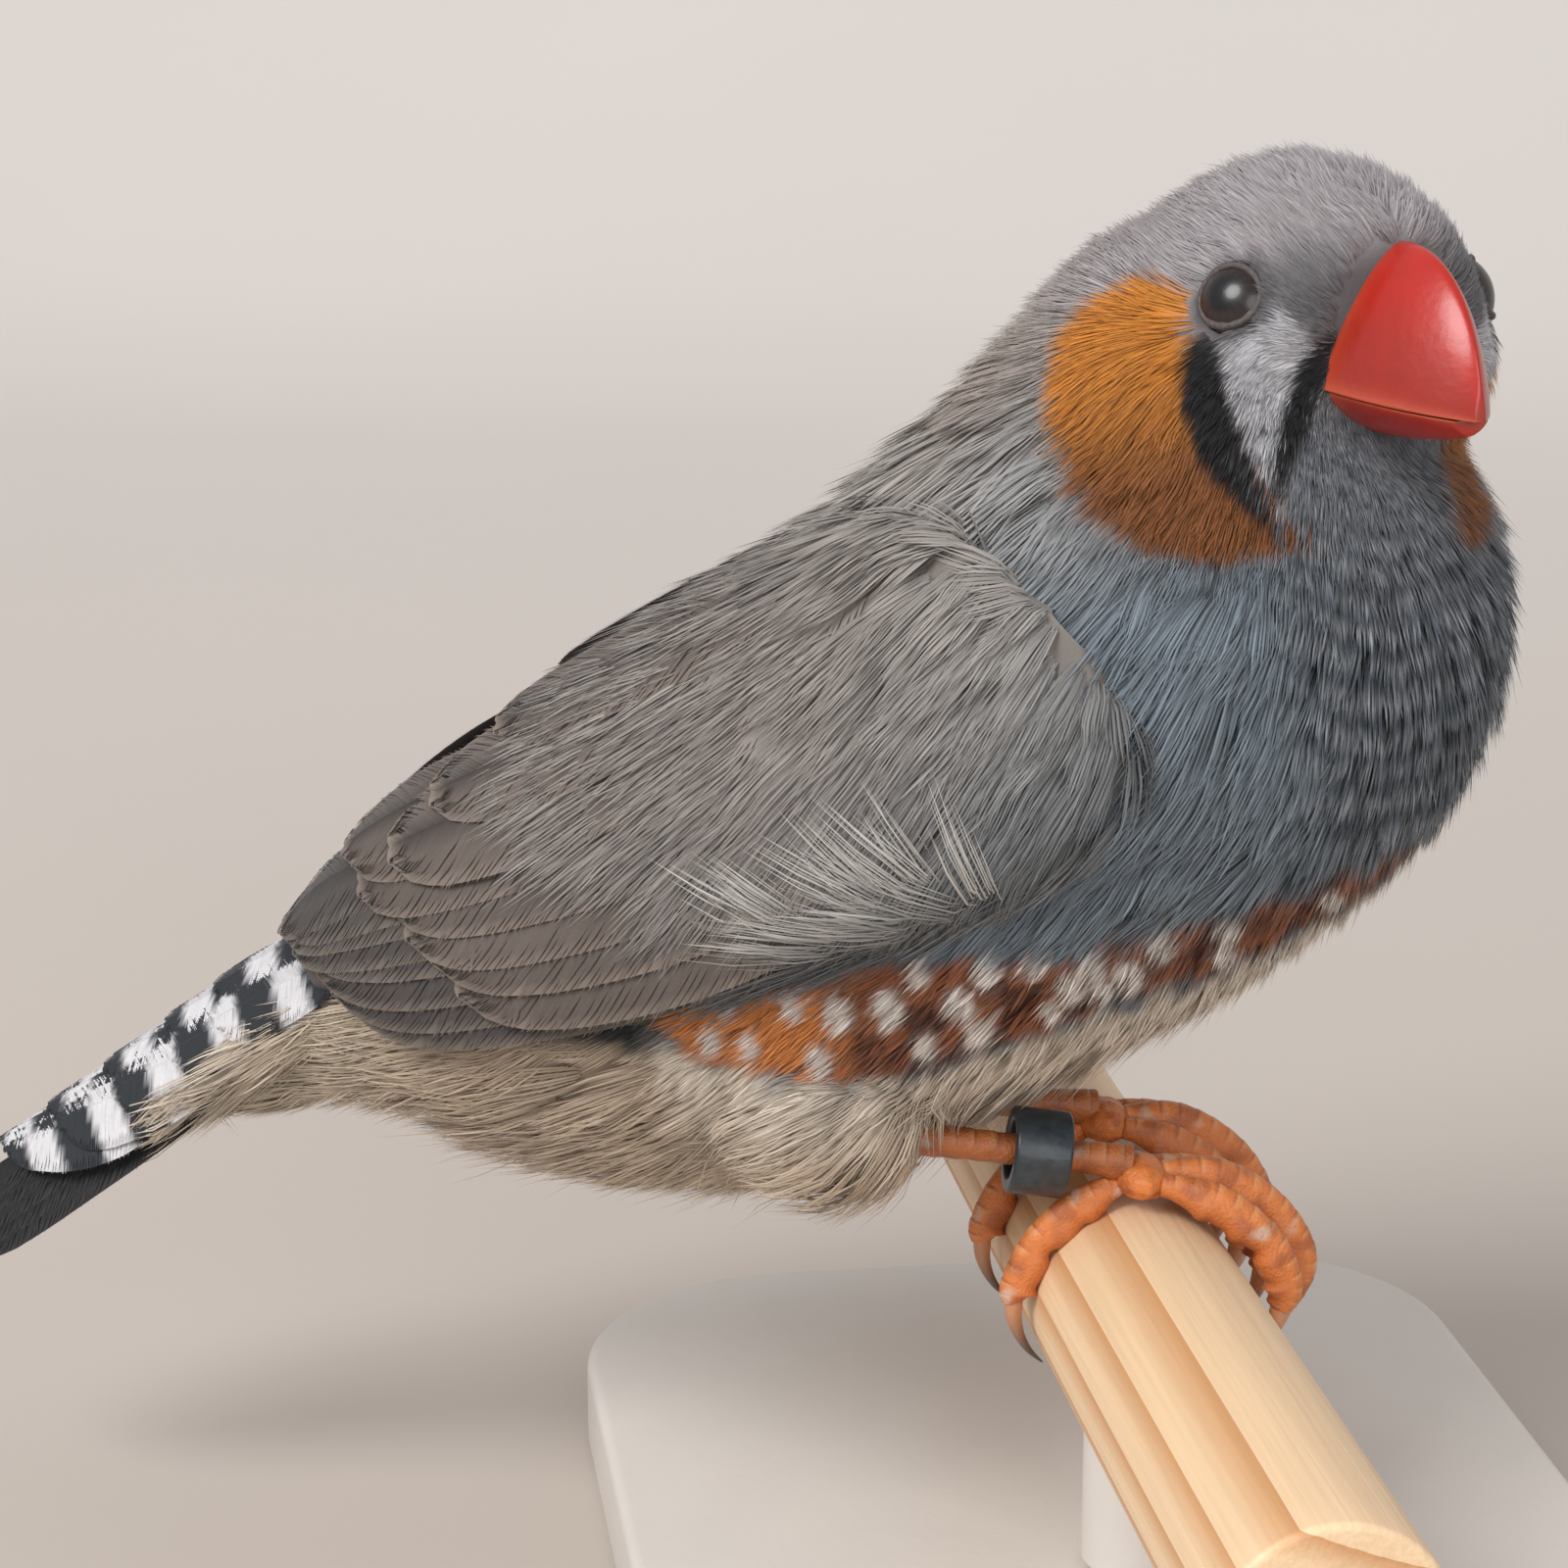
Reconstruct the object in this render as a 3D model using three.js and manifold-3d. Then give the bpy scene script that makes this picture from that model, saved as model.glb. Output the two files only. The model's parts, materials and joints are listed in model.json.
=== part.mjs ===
// A life-size male zebra finch gripping a short round perch on a plain display stand.
// Millimetres, +Z up, +X the way the body faces, +Y the bird's left. The origin is the middle of the base's underside.
import * as THREE from "three";
import { mergeVertices } from "three/addons/utils/BufferGeometryUtils.js";
import Module from "manifold-3d";

const wasm = await Module();
wasm.setup();

// Driving dimensions
const GAP = 0.3; // left between touching pieces
const PERCH = { radius: 5, far: 26, near: 40, turn: 20, height: 18 }; // ends and axis height from under the body
const BASE = { length: 78, width: 48, thick: 5, corner: 12, bevel: 0.6 };
const ROD_RADIUS = 2.6;
const STAND_AT = 7; // base and rod, along the perch from under the body
const HEAD = { at: [8.3, -1.4, 45.7], turn: -56, nod: -3.5, roll: -1 };
const EYE = { x: 4.1, angle: 74, ball: 2.1, sunk: 1.68, lid: 0.3 };
const BILL = { root: 5.6, tip: 14.4, culmen: 4.6, culmenAt: 7.9, half: 3.45, gape: -1.2, tipAt: -2.6, gonys: 1.35 };
const FEET = { right: 6, left: -1.8 }; // along the perch from under the body
const SHANK_RADIUS = 0.75;
const TOE_RADIUS = 0.78;
// The feathered thigh: its middle across the perch and up, and its half size along the perch, across it and up
const THIGH = { at: [-14.4, 9.9], size: [4.2, 5.4, 4.3] };
const BAND = { inner: 1.38, outer: 2.05, length: 2.7, across: -4.85 };
const VANE = { thick: 0.55, tip: 0.34, steps: 3 }; // every larger feather: thickness at its root and its tip

const rad = THREE.MathUtils.degToRad;
const V = (x, y, z) => new THREE.Vector3(x, y, z);
const alongPerch = V(Math.sin(rad(PERCH.turn)), -Math.cos(rad(PERCH.turn)), 0); // towards its near end
const acrossPerch = V(Math.cos(rad(PERCH.turn)), Math.sin(rad(PERCH.turn)), 0); // towards the bird's front
const sides = [["right", 1], ["left", -1]];

// Finishes
const finish = (color, roughness, metalness = 0) =>
  new THREE.MeshStandardMaterial({ color, roughness, metalness });
const MATERIALS = {
  body: finish(0x86807c, 0.85),
  head: finish(0x8b8a8c, 0.85),
  wing: finish(0x6b5f57, 0.8),
  tail: finish(0x1c1d20, 0.7),
  barred: finish(0xb9bbbf, 0.8),
  under: finish(0xd9cdb8, 0.9),
  bill: finish(0xe0421c, 0.35),
  eye: finish(0x140d0a, 0.08),
  leg: finish(0xd9762a, 0.55),
  claw: finish(0xb98a5a, 0.45),
  band: finish(0x12171b, 0.4),
  perch: finish(0xe3bf8d, 0.6),
  stand: finish(0xcfc8be, 0.6),
};

// A smooth curve through evenly keyed values
function spline(values) {
  const last = values.length - 1;
  return (t) => {
    const at = THREE.MathUtils.clamp(t, 0, 1) * last;
    const i = Math.min(Math.floor(at), last - 1);
    const f = at - i;
    const [a, b, c, d] = [-1, 0, 1, 2].map((k) => values[THREE.MathUtils.clamp(i + k, 0, last)]);
    return 0.5 * (2 * b + (c - a) * f + (2 * a - 5 * b + 4 * c - d) * f * f + (3 * b - a - 3 * c + d) * f ** 3);
  };
}
// The same through values keyed at places of their own, in rising order: [[place, value], ...]
function keyed(pairs) {
  const curve = spline(pairs.map(([, value]) => value));
  return (x) => {
    const last = pairs.length - 1;
    const i = THREE.MathUtils.clamp(pairs.findIndex(([place]) => place > x) - 1, 0, last - 1);
    const j = x >= pairs[last][0] ? last - 1 : i;
    const f = (x - pairs[j][0]) / (pairs[j + 1][0] - pairs[j][0]);
    return curve((j + THREE.MathUtils.clamp(f, 0, 1)) / last);
  };
}

// Seeded chance, the same on every run: a number between -1 and 1
const CHANCE = { times: 16807, below: 2147483647 };
let seed = 12;
function jitter() {
  seed = (seed * CHANCE.times) % CHANCE.below;
  return (2 * seed) / CHANCE.below - 1;
}

// Rings of points, the same number in each, closed at both ends by a fan. A thin sheet's rings run along one face
// and back along the other, and its two faces are split into triangles alike, so that they never cross.
function loft(rings, sheet = false) {
  const around = rings[0].length;
  const points = rings.flat();
  const index = [];
  for (let r = 0; r + 1 < rings.length; r++)
    for (let i = 0; i < around; i++) {
      const j = (i + 1) % around;
      const [a, b, c, d] = [r * around + i, r * around + j, (r + 1) * around + i, (r + 1) * around + j];
      index.push(...(sheet && i >= around / 2 ? [a, b, c, b, d, c] : [a, b, d, a, d, c]));
    }
  for (const [ring, flip] of [[0, true], [rings.length - 1, false]]) {
    const middle = V(0, 0, 0);
    rings[ring].forEach((p) => middle.addScaledVector(p, 1 / around));
    points.push(middle);
    const hub = points.length - 1;
    for (let i = 0; i < around; i++) {
      const [a, b] = [ring * around + i, ring * around + ((i + 1) % around)];
      index.push(...(flip ? [a, hub, b] : [a, b, hub]));
    }
  }
  return new THREE.BufferGeometry().setFromPoints(points).setIndex(index);
}

// A closed geometry as a solid that can be joined and cut
function solid(geometry) {
  const bare = (geometry.index ? geometry.toNonIndexed() : geometry).clone();
  ["normal", "uv"].forEach((name) => bare.deleteAttribute(name));
  const merged = mergeVertices(bare, 1e-5);
  const make = (triVerts) =>
    new wasm.Manifold(
      new wasm.Mesh({ numProp: 3, vertProperties: merged.attributes.position.array, triVerts }),
    );
  const made = make(new Uint32Array(merged.index.array));
  return made.volume() >= 0 ? made : make(new Uint32Array(merged.index.array).reverse());
}

const join = (parts) => parts.reduce((a, b) => a.add(b));
const largest = (body) => body.decompose().reduce((a, b) => (b.volume() > a.volume() ? b : a));
const flip = new THREE.Matrix4().makeScale(1, -1, 1);
const place = (body, frame) => body.transform([...frame.elements]);
const onSide = (body, side) => (side > 0 ? body : place(body, flip));

// The outer surface alone, with corners nearer than this made one
const NEAREST = 0.004;
function settled(body) {
  const { vertProperties, triVerts } = largest(body).getMesh();
  const corners = [];
  const home = [];
  for (let i = 0; i < vertProperties.length; i += 3) {
    const corner = V(...vertProperties.subarray(i, i + 3));
    const near = corners.findIndex((other) => other.distanceToSquared(corner) < NEAREST ** 2);
    home.push(near < 0 ? corners.push(corner) - 1 : near);
  }
  const index = [];
  for (let i = 0; i < triVerts.length; i += 3) {
    const [a, b, c] = [0, 1, 2].map((k) => home[triVerts[i + k]]);
    if (a !== b && b !== c && c !== a) index.push(a, b, c);
  }
  return largest(solid(new THREE.BufferGeometry().setFromPoints(corners).setIndex(index)));
}

// A solid back as a mesh with its node's name
function node(name, body, material) {
  const { vertProperties, triVerts } = largest(body).getMesh();
  const geometry = new THREE.BufferGeometry()
    .setAttribute("position", new THREE.BufferAttribute(new Float32Array(vertProperties), 3))
    .setIndex(new THREE.BufferAttribute(new Uint32Array(triVerts), 1));
  geometry.computeVertexNormals();
  const mesh = new THREE.Mesh(geometry, material);
  mesh.name = name;
  return mesh;
}

// Everything ahead of a plane through a point, facing a direction
function ahead(point, facing, reach = 80) {
  const box = new THREE.BoxGeometry(2 * reach, 2 * reach, reach);
  box.translate(0, 0, reach / 2);
  box.applyQuaternion(new THREE.Quaternion().setFromUnitVectors(V(0, 0, 1), facing.clone().normalize()));
  box.translate(point.x, point.y, point.z);
  return solid(box);
}

// Cuts a body at a plane and leaves the gap between the two: [behind, ahead]
function part(body, point, facing) {
  const step = facing.clone().normalize().multiplyScalar(GAP / 2);
  const behind = body.subtract(ahead(point.clone().sub(step), facing));
  const front = body.intersect(ahead(point.clone().add(step), facing));
  return [behind, front];
}

function ball(radius, centre, wide = 12, high = 8, scale = [1, 1, 1]) {
  const g = new THREE.SphereGeometry(radius, wide, high);
  g.scale(...scale);
  g.translate(centre.x, centre.y, centre.z);
  return solid(g);
}

// A round bar along the perch, from one distance to another
function bar(radius, from, to, round = 32) {
  const g = new THREE.CylinderGeometry(radius, radius, to - from, round);
  g.translate(0, (from + to) / 2, 0);
  g.applyQuaternion(new THREE.Quaternion().setFromUnitVectors(V(0, 1, 0), alongPerch));
  return solid(g);
}

// A round limb through points, with a radius at each
function limb(points, radii, { steps = 10, round = 8 } = {}) {
  const curve = new THREE.CatmullRomCurve3(points);
  const radius = spline(radii);
  const frames = curve.computeFrenetFrames(steps);
  const rings = [];
  for (let i = 0; i <= steps; i++) {
    const centre = curve.getPointAt(i / steps);
    rings.push(
      [...Array(round).keys()].map((k) => {
        const a = (2 * Math.PI * k) / round;
        return centre
          .clone()
          .addScaledVector(frames.normals[i], radius(i / steps) * Math.cos(a))
          .addScaledVector(frames.binormals[i], radius(i / steps) * Math.sin(a));
      }),
    );
  }
  return solid(loft(rings));
}

// A feather's vane: spot(t, across, height) gives a place from root (t 0) to tip (t 1), in mm across and above
const vaneOutline = keyed([[0, 0.55], [0.15, 0.8], [0.4, 1], [0.7, 0.97], [0.88, 0.72], [0.97, 0.4], [1, 0.2]]);
function vane(spot, wide) {
  const rings = [];
  for (let i = 0; i <= VANE.steps; i++) {
    const t = Math.pow(i / VANE.steps, 0.8);
    const half = (wide / 2) * vaneOutline(t);
    const plate = VANE.thick + (VANE.tip - VANE.thick) * t;
    rings.push([spot(t, -half, 0), spot(t, half, 0), spot(t, half, plate), spot(t, -half, plate)]);
  }
  return solid(loft(rings, true));
}

// The trunk's ribs from the tail's root to inside the head: back and belly in the middle plane, and half width
const RIBS = [
  { back: [-45.7, 9.7], belly: [-46.2, 3.5], half: 2.7 },
  { back: [-41.6, 13.1], belly: [-40.2, 4.5], half: 4.8 },
  { back: [-37.9, 16.3], belly: [-33.7, 4.7], half: 7.2 },
  { back: [-34.2, 19.8], belly: [-26.3, 2.9], half: 10.2 },
  { back: [-30.0, 23.6], belly: [-19.3, 2.6], half: 12.4 },
  { back: [-24.9, 27.6], belly: [-12.0, 3.8], half: 13.9 },
  { back: [-19.3, 31.8], belly: [-5.0, 7.2], half: 14.7 },
  { back: [-14.7, 35.7], belly: [2.4, 11.6], half: 15.0 },
  { back: [-11.3, 39.6], belly: [9.4, 16.7], half: 15.0 },
  { back: [-8.9, 42.7], belly: [15.4, 22.7], half: 14.3 },
  { back: [-6.5, 45.6], belly: [18.0, 29.2], half: 12.8 },
  { back: [-4.0, 48.5], belly: [17.8, 35.3], half: 11.2 },
  { back: [-0.5, 50.6], belly: [15.4, 39.9], half: 8.8 },
  { back: [4.3, 49.9], belly: [12.2, 43.6], half: 5.1 },
];
const TRUNK_EGG = 0.1; // how much wider the ribs are below their middle
const trunkCurves = [
  (r) => r.back[0], (r) => r.back[1], (r) => r.belly[0], (r) => r.belly[1], (r) => r.half,
].map((pick) => spline(RIBS.map(pick)));
// s runs from tail to head; the angle from the back (0) over the bird's right side to the belly (180)
function trunkAt(s, angle, grow = 0) {
  const [bx, bz, vx, vz, half] = trunkCurves.map((curve) => curve(s));
  const a = rad(angle);
  const up = Math.cos(a) * (1 + (2 * grow) / Math.hypot(bx - vx, bz - vz));
  const out = (half + grow) * Math.sin(a) * (1 - TRUNK_EGG * Math.cos(a));
  return V((bx + vx + (bx - vx) * up) / 2, -out, (bz + vz + (bz - vz) * up) / 2);
}

// The head in its own frame: x forward, y left, z up
const HEAD_RIBS = [
  { x: -10.2, top: 1.9, low: -0.9, half: 1.5 },
  { x: -9.3, top: 4.8, low: -3.3, half: 4.8 },
  { x: -7.4, top: 6.9, low: -5.9, half: 7.4 },
  { x: -4.6, top: 8.2, low: -7.8, half: 8.9 },
  { x: -1.4, top: 8.8, low: -8.5, half: 8.7 },
  { x: 1.4, top: 8.6, low: -8.3, half: 7.9 },
  { x: 3.7, top: 7.9, low: -7.4, half: 7.0 },
  { x: 5.6, top: 7.1, low: -6.3, half: 6.0 },
  { x: 7.0, top: 6.4, low: -5.2, half: 5.1 },
  { x: 8.2, top: 5.4, low: -4.3, half: 3.9 },
];
const HEAD_EGG = 0.13;
const HEAD_SLANT = 0.12; // the face's front leans back towards the chin
// The cheeks stand out below the eyes: place forward, angle, how far out, and their spread along and around
const CHEEK = { x: 1.5, angle: 108, out: 1.1, along: 4, around: 28 };
const headCurves = ["x", "top", "low", "half"].map((key) => spline(HEAD_RIBS.map((r) => r[key])));
function headAt(s, angle, grow = 0) {
  const [x, top, low, half] = headCurves.map((curve) => curve(s));
  const a = rad(angle);
  const z = (top + low) / 2 + ((top - low) / 2 + grow) * Math.cos(a);
  const lean = HEAD_SLANT * (z - BILL.culmen) * THREE.MathUtils.clamp(x / 8, 0, 1) ** 2;
  const below = ((angle < 180 ? angle : 360 - angle) - CHEEK.angle) / CHEEK.around;
  const cheek = CHEEK.out * Math.exp(-(((x - CHEEK.x) / CHEEK.along) ** 2) - below ** 2);
  const out = (half + cheek + grow) * Math.sin(a) * (1 - HEAD_EGG * Math.cos(a));
  return V(x + lean + (x > 8 ? grow : 0), -out, z);
}
const headFrame = new THREE.Matrix4().compose(
  V(...HEAD.at),
  new THREE.Quaternion().setFromEuler(new THREE.Euler(rad(HEAD.roll), rad(HEAD.nod), rad(HEAD.turn), "ZYX")),
  V(1, 1, 1),
);

// A closed skin over a surface given by at(s, angle, grow)
function skinOf(at, along, around, grow = 0) {
  const rings = [];
  for (let r = 0; r <= along; r++)
    rings.push([...Array(around).keys()].map((i) => at(r / along, (360 * i) / around, grow)));
  return solid(loft(rings));
}

// Where an eye sits: on the skin, facing out of it, its ball's centre sunk below
function eyeSeat(side) {
  let s = 0;
  while (headCurves[0](s) < EYE.x) s += 0.002;
  const onSkin = headAt(s, EYE.angle);
  const forward = headAt(s + 0.02, EYE.angle).sub(onSkin);
  const below = headAt(s, EYE.angle + 4).sub(onSkin);
  const out = below.cross(forward).normalize();
  if (out.y > 0) out.negate();
  const centre = onSkin.clone().addScaledVector(out, -EYE.sunk);
  for (const v of [onSkin, out, centre]) v.y *= side;
  return { onSkin, out, centre };
}
function lid({ onSkin, out }) {
  const open = Math.sqrt(EYE.ball ** 2 - EYE.sunk ** 2);
  const g = new THREE.TorusGeometry(open + EYE.lid + 0.1, EYE.lid, 5, 14);
  g.applyQuaternion(new THREE.Quaternion().setFromUnitVectors(V(0, 0, 1), out));
  g.translate(...onSkin.clone().addScaledVector(out, 0.05));
  return solid(g);
}

// Half of the bill in the head's frame: above the line of the mouth, or below it
function billHalf(upper) {
  const rings = [];
  const steps = 8;
  const around = 9;
  const length = BILL.tip - BILL.culmenAt;
  for (let i = 0; i <= steps; i++) {
    const x = BILL.root + (i / steps) ** 0.8 * (BILL.tip - (upper ? 0.12 : 0.9) - BILL.root);
    const u = THREE.MathUtils.clamp((x - BILL.culmenAt) / length, 0, 1);
    const v = (x - BILL.root) / (BILL.tip - BILL.root);
    const mouth = BILL.gape + (BILL.tipAt - BILL.gape) * v;
    const arch = Math.sqrt(1 - u * u);
    const edge = upper ? BILL.tipAt + (BILL.culmen - BILL.tipAt) * arch : BILL.tipAt - 0.3 - BILL.gonys * arch;
    const line = mouth + (upper ? GAP / 2 : -GAP / 2);
    const tall = upper ? Math.max(0.25, edge - line) : Math.min(-0.25, edge - line);
    const half = BILL.half * (upper ? 1 : 0.93) * Math.max(0.05, 1 - v ** 1.9) ** 0.8 + 0.1;
    rings.push(
      [...Array(around).keys()].map((k) => {
        const a = (Math.PI * k) / (around - 1);
        const y = half * Math.sign(Math.cos(a)) * Math.abs(Math.cos(a)) ** 0.8;
        return V(x, y, line + tall * Math.sin(a) ** 0.8);
      }),
    );
  }
  return solid(loft(rings));
}
function bill(upper) {
  let body = billHalf(upper).subtract(skinOf(headAt, 15, 20, GAP));
  if (upper)
    for (const [, side] of sides) body = body.subtract(ball(0.38, V(9.2, 2.5 * side, 3.3), 8, 6));
  return place(body, headFrame);
}

// The tail's own frame: u along it, v to the bird's left, w above; its origin is on the ridge at the wings' tips
const TAIL = { at: V(-42.4, 0, 13.6), slope: 36, from: -4.3, length: 25.5 };
const tailAlong = V(-Math.cos(rad(TAIL.slope)), 0, -Math.sin(rad(TAIL.slope)));
const tailUp = V(-Math.sin(rad(TAIL.slope)), 0, Math.cos(rad(TAIL.slope)));
const tailSpot = (u, v, w) =>
  TAIL.at.clone().addScaledVector(tailAlong, u).addScaledVector(V(0, 1, 0), v).addScaledVector(tailUp, w);
// A closed arch: half width and height of its ridge at each u, its sides dropping away, thick across
const ARCH_ROUND = 1.7;
function arch(from, to, half, ridge, drop, thick, steps = 5) {
  const rings = [];
  const across = 6;
  for (let i = 0; i <= steps; i++) {
    const u = from + ((to - from) * i) / steps;
    const spot = (f, under) => tailSpot(u, half(u) * f, ridge(u) - drop(u) * Math.abs(f) ** ARCH_ROUND - under);
    const ring = [];
    for (let k = 0; k <= across; k++) ring.push(spot((2 * k) / across - 1, 0));
    for (let k = across; k >= 0; k--) ring.push(spot((2 * k) / across - 1, thick(u)));
    rings.push(ring);
  }
  return solid(loft(rings, true));
}
const FEATHER_SUNK = 0.4; // how far a feather's root lies below its tip's level
const COVERTS = { to: 19.5, ridge: -0.45, thick: 0.6, spread: 0.42, wide: 3.6, over: 0.2 };
const covertHalf = keyed([[-5, 6.4], [0, 5.6], [6, 4.7], [12, 4.0], [17, 2.9], [19.5, 1.2]]);
const covertDrop = keyed([[-5, 3.6], [0, 4.0], [8, 3.8], [14, 3.0], [19.5, 1.0]]);
// A feather lying along an arch: from and to are [u, share of the half width], over is its height on the arch
function archVane(half, ridge, drop, { from, to, wide, over }) {
  const spot = (t, across, height) => {
    const u = from[0] + (to[0] - from[0]) * t;
    const width = Math.max(half(u), 2);
    const f = from[1] + (to[1] - from[1]) * t + across / width;
    const level = ridge(u) - drop(u) * Math.abs(f) ** ARCH_ROUND + over - FEATHER_SUNK * (1 - t) ** 2;
    return tailSpot(u, width * f, level + height);
  };
  return vane(spot, wide);
}
// Rows of pointed coverts, each row's tips over the next row's roots: from, to, how many
const COVERT_ROWS = [[10.5, 19.8, 2], [5.5, 15.2, 3], [0.5, 10.2, 3]];
function upperCoverts() {
  const { to: end, ridge, thick, spread, wide, over } = COVERTS;
  const vanes = COVERT_ROWS.flatMap(([from, to, count], row) =>
    [...Array(count).keys()].map((k) => {
      const share = spread * (k - (count - 1) / 2) + 0.04 * jitter();
      const tip = [to - 0.8 * Math.abs(share) + 0.3 * jitter(), share * 0.85];
      const lie = { from: [from, share], to: tip, wide, over: over + 0.05 * row };
      return archVane(covertHalf, () => ridge, covertDrop, lie);
    }),
  );
  return settled(join([arch(TAIL.from, end - 3, covertHalf, () => ridge, covertDrop, () => thick), ...vanes]));
}
const tailHalf = keyed([[-6, 4.6], [0, 4.6], [10, 4.4], [18, 4.4], [23, 3.9], [25.5, 2.4]]);
const tailDrop = keyed([[-6, 3.2], [0, 3.6], [12, 4.2], [25.5, 4.6]]);
const tailRidge = keyed([[-6, -1.45], [19, -1.45], [25.5, -1.6]]);
const underHalf = keyed([[-5, 4.6], [2, 3.8], [8, 2.6], [13.4, 0.8]]);
const underRidge = keyed([[-5, -3.2], [5, -3.4], [13.4, -5.2]]);
const underDrop = keyed([[-5, 3.4], [5, 2.8], [13.4, 1.4]]);
const underThick = keyed([[-5, 3.4], [3, 2.6], [13.4, 0.5]]);

// Room for the tail and all above it, cut out of what lies below
const WIDER = 1.4;
const fallsAlike = WIDER ** ARCH_ROUND;
const widerTail = (u) => tailHalf(u) * WIDER;
const widerCoverts = (u) => Math.max(covertHalf(u), 2.2) * WIDER;
const widerTailDrop = (u) => tailDrop(u) * fallsAlike;
const widerCovertDrop = (u) => covertDrop(u) * fallsAlike;
const tailRoom = arch(TAIL.from - 4, TAIL.length + 2, widerTail, () => 8, widerTailDrop, () => 11.5);
// Room for the coverts, cut out of the wings and out of the tail
const covertRoom = arch(TAIL.from - 4, COVERTS.to + 2, widerCoverts, () => GAP + 0.1, widerCovertDrop, () => 5);
const coverCut = arch(TAIL.from - 2, COVERTS.to + 0.8, widerCoverts, () => 4, widerCovertDrop, () => 5.35);

// Tail feathers fan out on each side, the middle pair on top, towards two rounded lobes
const FAN = { each: 3, first: 0.2, next: 0.27, opens: 1.12, shorter: 0.9, wide: 4.2, over: 0, lower: 0.32 };
function tailFan() {
  const core = arch(TAIL.from, TAIL.length - 8, (u) => tailHalf(u) * 0.96, tailRidge, tailDrop, () => 1.1);
  const vanes = sides.flatMap(([, side]) =>
    [...Array(FAN.each).keys()].map((k) => {
      const share = -side * (FAN.first + FAN.next * k + 0.012 * jitter());
      const tip = [TAIL.length - FAN.shorter * k + 0.3 * jitter(), share * FAN.opens];
      const lie = { from: [5, share], to: tip, wide: FAN.wide, over: FAN.over - FAN.lower * k };
      return archVane(tailHalf, tailRidge, tailDrop, lie);
    }),
  );
  return settled(join([core, ...vanes]).subtract(coverCut));
}

// The cream feathers under the tail run on from the belly to a point
function underCoverts() {
  const point = arch(TAIL.from, 13.4, underHalf, underRidge, underDrop, underThick);
  const [, rear] = part(trunkSkin, tailSpot(TAIL.from - GAP / 2, 0, 0), tailAlong);
  return largest(rear.add(point).subtract(tailRoom));
}

// The trunk, neck and head are one skin, cut apart
const perchRoom = bar(PERCH.radius + GAP, -60, 60);
const headSkin = place(skinOf(headAt, 15, 22), headFrame);
const trunkSkin = skinOf(trunkAt, 22, 24);
const flesh = trunkSkin.add(headSkin).subtract(perchRoom);
const NECK_CUT = { at: V(4, 0, 35.2), facing: V(0.28, 0, 0.96) };
const HEAD_CUT = { at: V(6, 0, 38.6), facing: V(0.42, -0.22, 0.88) };
const [bodyAndNeck] = part(flesh, tailSpot(TAIL.from - GAP / 2, 0, 0), tailAlong);
let [torso, upper] = part(bodyAndNeck, NECK_CUT.at, NECK_CUT.facing);
let [neck, head] = part(upper, HEAD_CUT.at, HEAD_CUT.facing);

const eyes = [];
for (const [name, side] of sides) {
  const seat = eyeSeat(side);
  head = head.add(place(lid(seat), headFrame));
  head = head.subtract(place(ball(EYE.ball + GAP, seat.centre, 14, 10), headFrame));
  eyes.push(node(`eye_${name}`, place(ball(EYE.ball, seat.centre, 14, 10), headFrame), MATERIALS.eye));
}

// The folded wing hugs the trunk. Its core is a shell whose edges run from the bend to the tips over the tail,
// given as angles round the trunk, and it is thickest along its middle.
const WING = { front: 0.675, back: 0.12, off: 0.5, skin: 0.5 };
const wingTop = keyed([
  [0.08, 12], [0.13, 8], [0.2, 6], [0.3, 6], [0.41, 9], [0.5, 13], [0.6, 24], [0.64, 38], [0.66, 52], [0.675, 70],
]);
const wingLow = keyed([
  [0.08, 40], [0.13, 58], [0.18, 68], [0.26, 75], [0.33, 79], [0.41, 84], [0.5, 93], [0.6, 101], [0.64, 99],
  [0.66, 92], [0.675, 80],
]);
const wingLift = keyed([[0.08, 0.6], [0.15, 1.5], [0.25, 1.9], [0.35, 1.5], [0.5, 1.0], [0.62, 0.5], [0.675, 0.1]]);
const midPlaneRoom = ahead(V(0, -GAP / 2, 0), V(0, 1, 0));
// How far the core's outside lies above the trunk
function coreRise(s, angle) {
  const [top, low] = [wingTop(s), wingLow(s)];
  const f = THREE.MathUtils.clamp((angle - top) / (low - top), 0, 1);
  return WING.off + WING.skin + wingLift(s) * Math.sin(Math.PI * (0.12 + 0.76 * f)) ** 0.6;
}
function wingCore() {
  const rings = [];
  const steps = 8;
  const across = 4;
  for (let r = 0; r <= steps; r++) {
    const s = WING.back + (WING.front - WING.back) * Math.sin((Math.PI * r) / steps / 2) ** 0.9;
    const angles = [...Array(across + 1).keys()].map((k) => wingTop(s) + ((wingLow(s) - wingTop(s)) * k) / across);
    const inside = angles.map((angle) => trunkAt(s, angle, WING.off));
    const outside = angles.map((angle) => trunkAt(s, angle, coreRise(s, angle)));
    rings.push([...inside, ...outside.reverse()]);
  }
  return solid(loft(rings, true));
}
// A wing feather between two places [s, angle], its root sunk in the core and its tip a little clear of it
function wingVane({ from, to, wide, over }) {
  const spot = (t, across, height) => {
    const [s, middle] = [from[0] + (to[0] - from[0]) * t, from[1] + (to[1] - from[1]) * t];
    const perMm = 2 / trunkAt(s, middle + 1).distanceTo(trunkAt(s, middle - 1));
    const tilt = 0.1 * across; // each lower edge lies over the next feather
    const rise = coreRise(s, middle) + over - FEATHER_SUNK * (1 - t) ** 2 + tilt;
    return trunkAt(s, middle + across * perMm, rise + height);
  };
  return vane(spot, wide);
}
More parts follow.
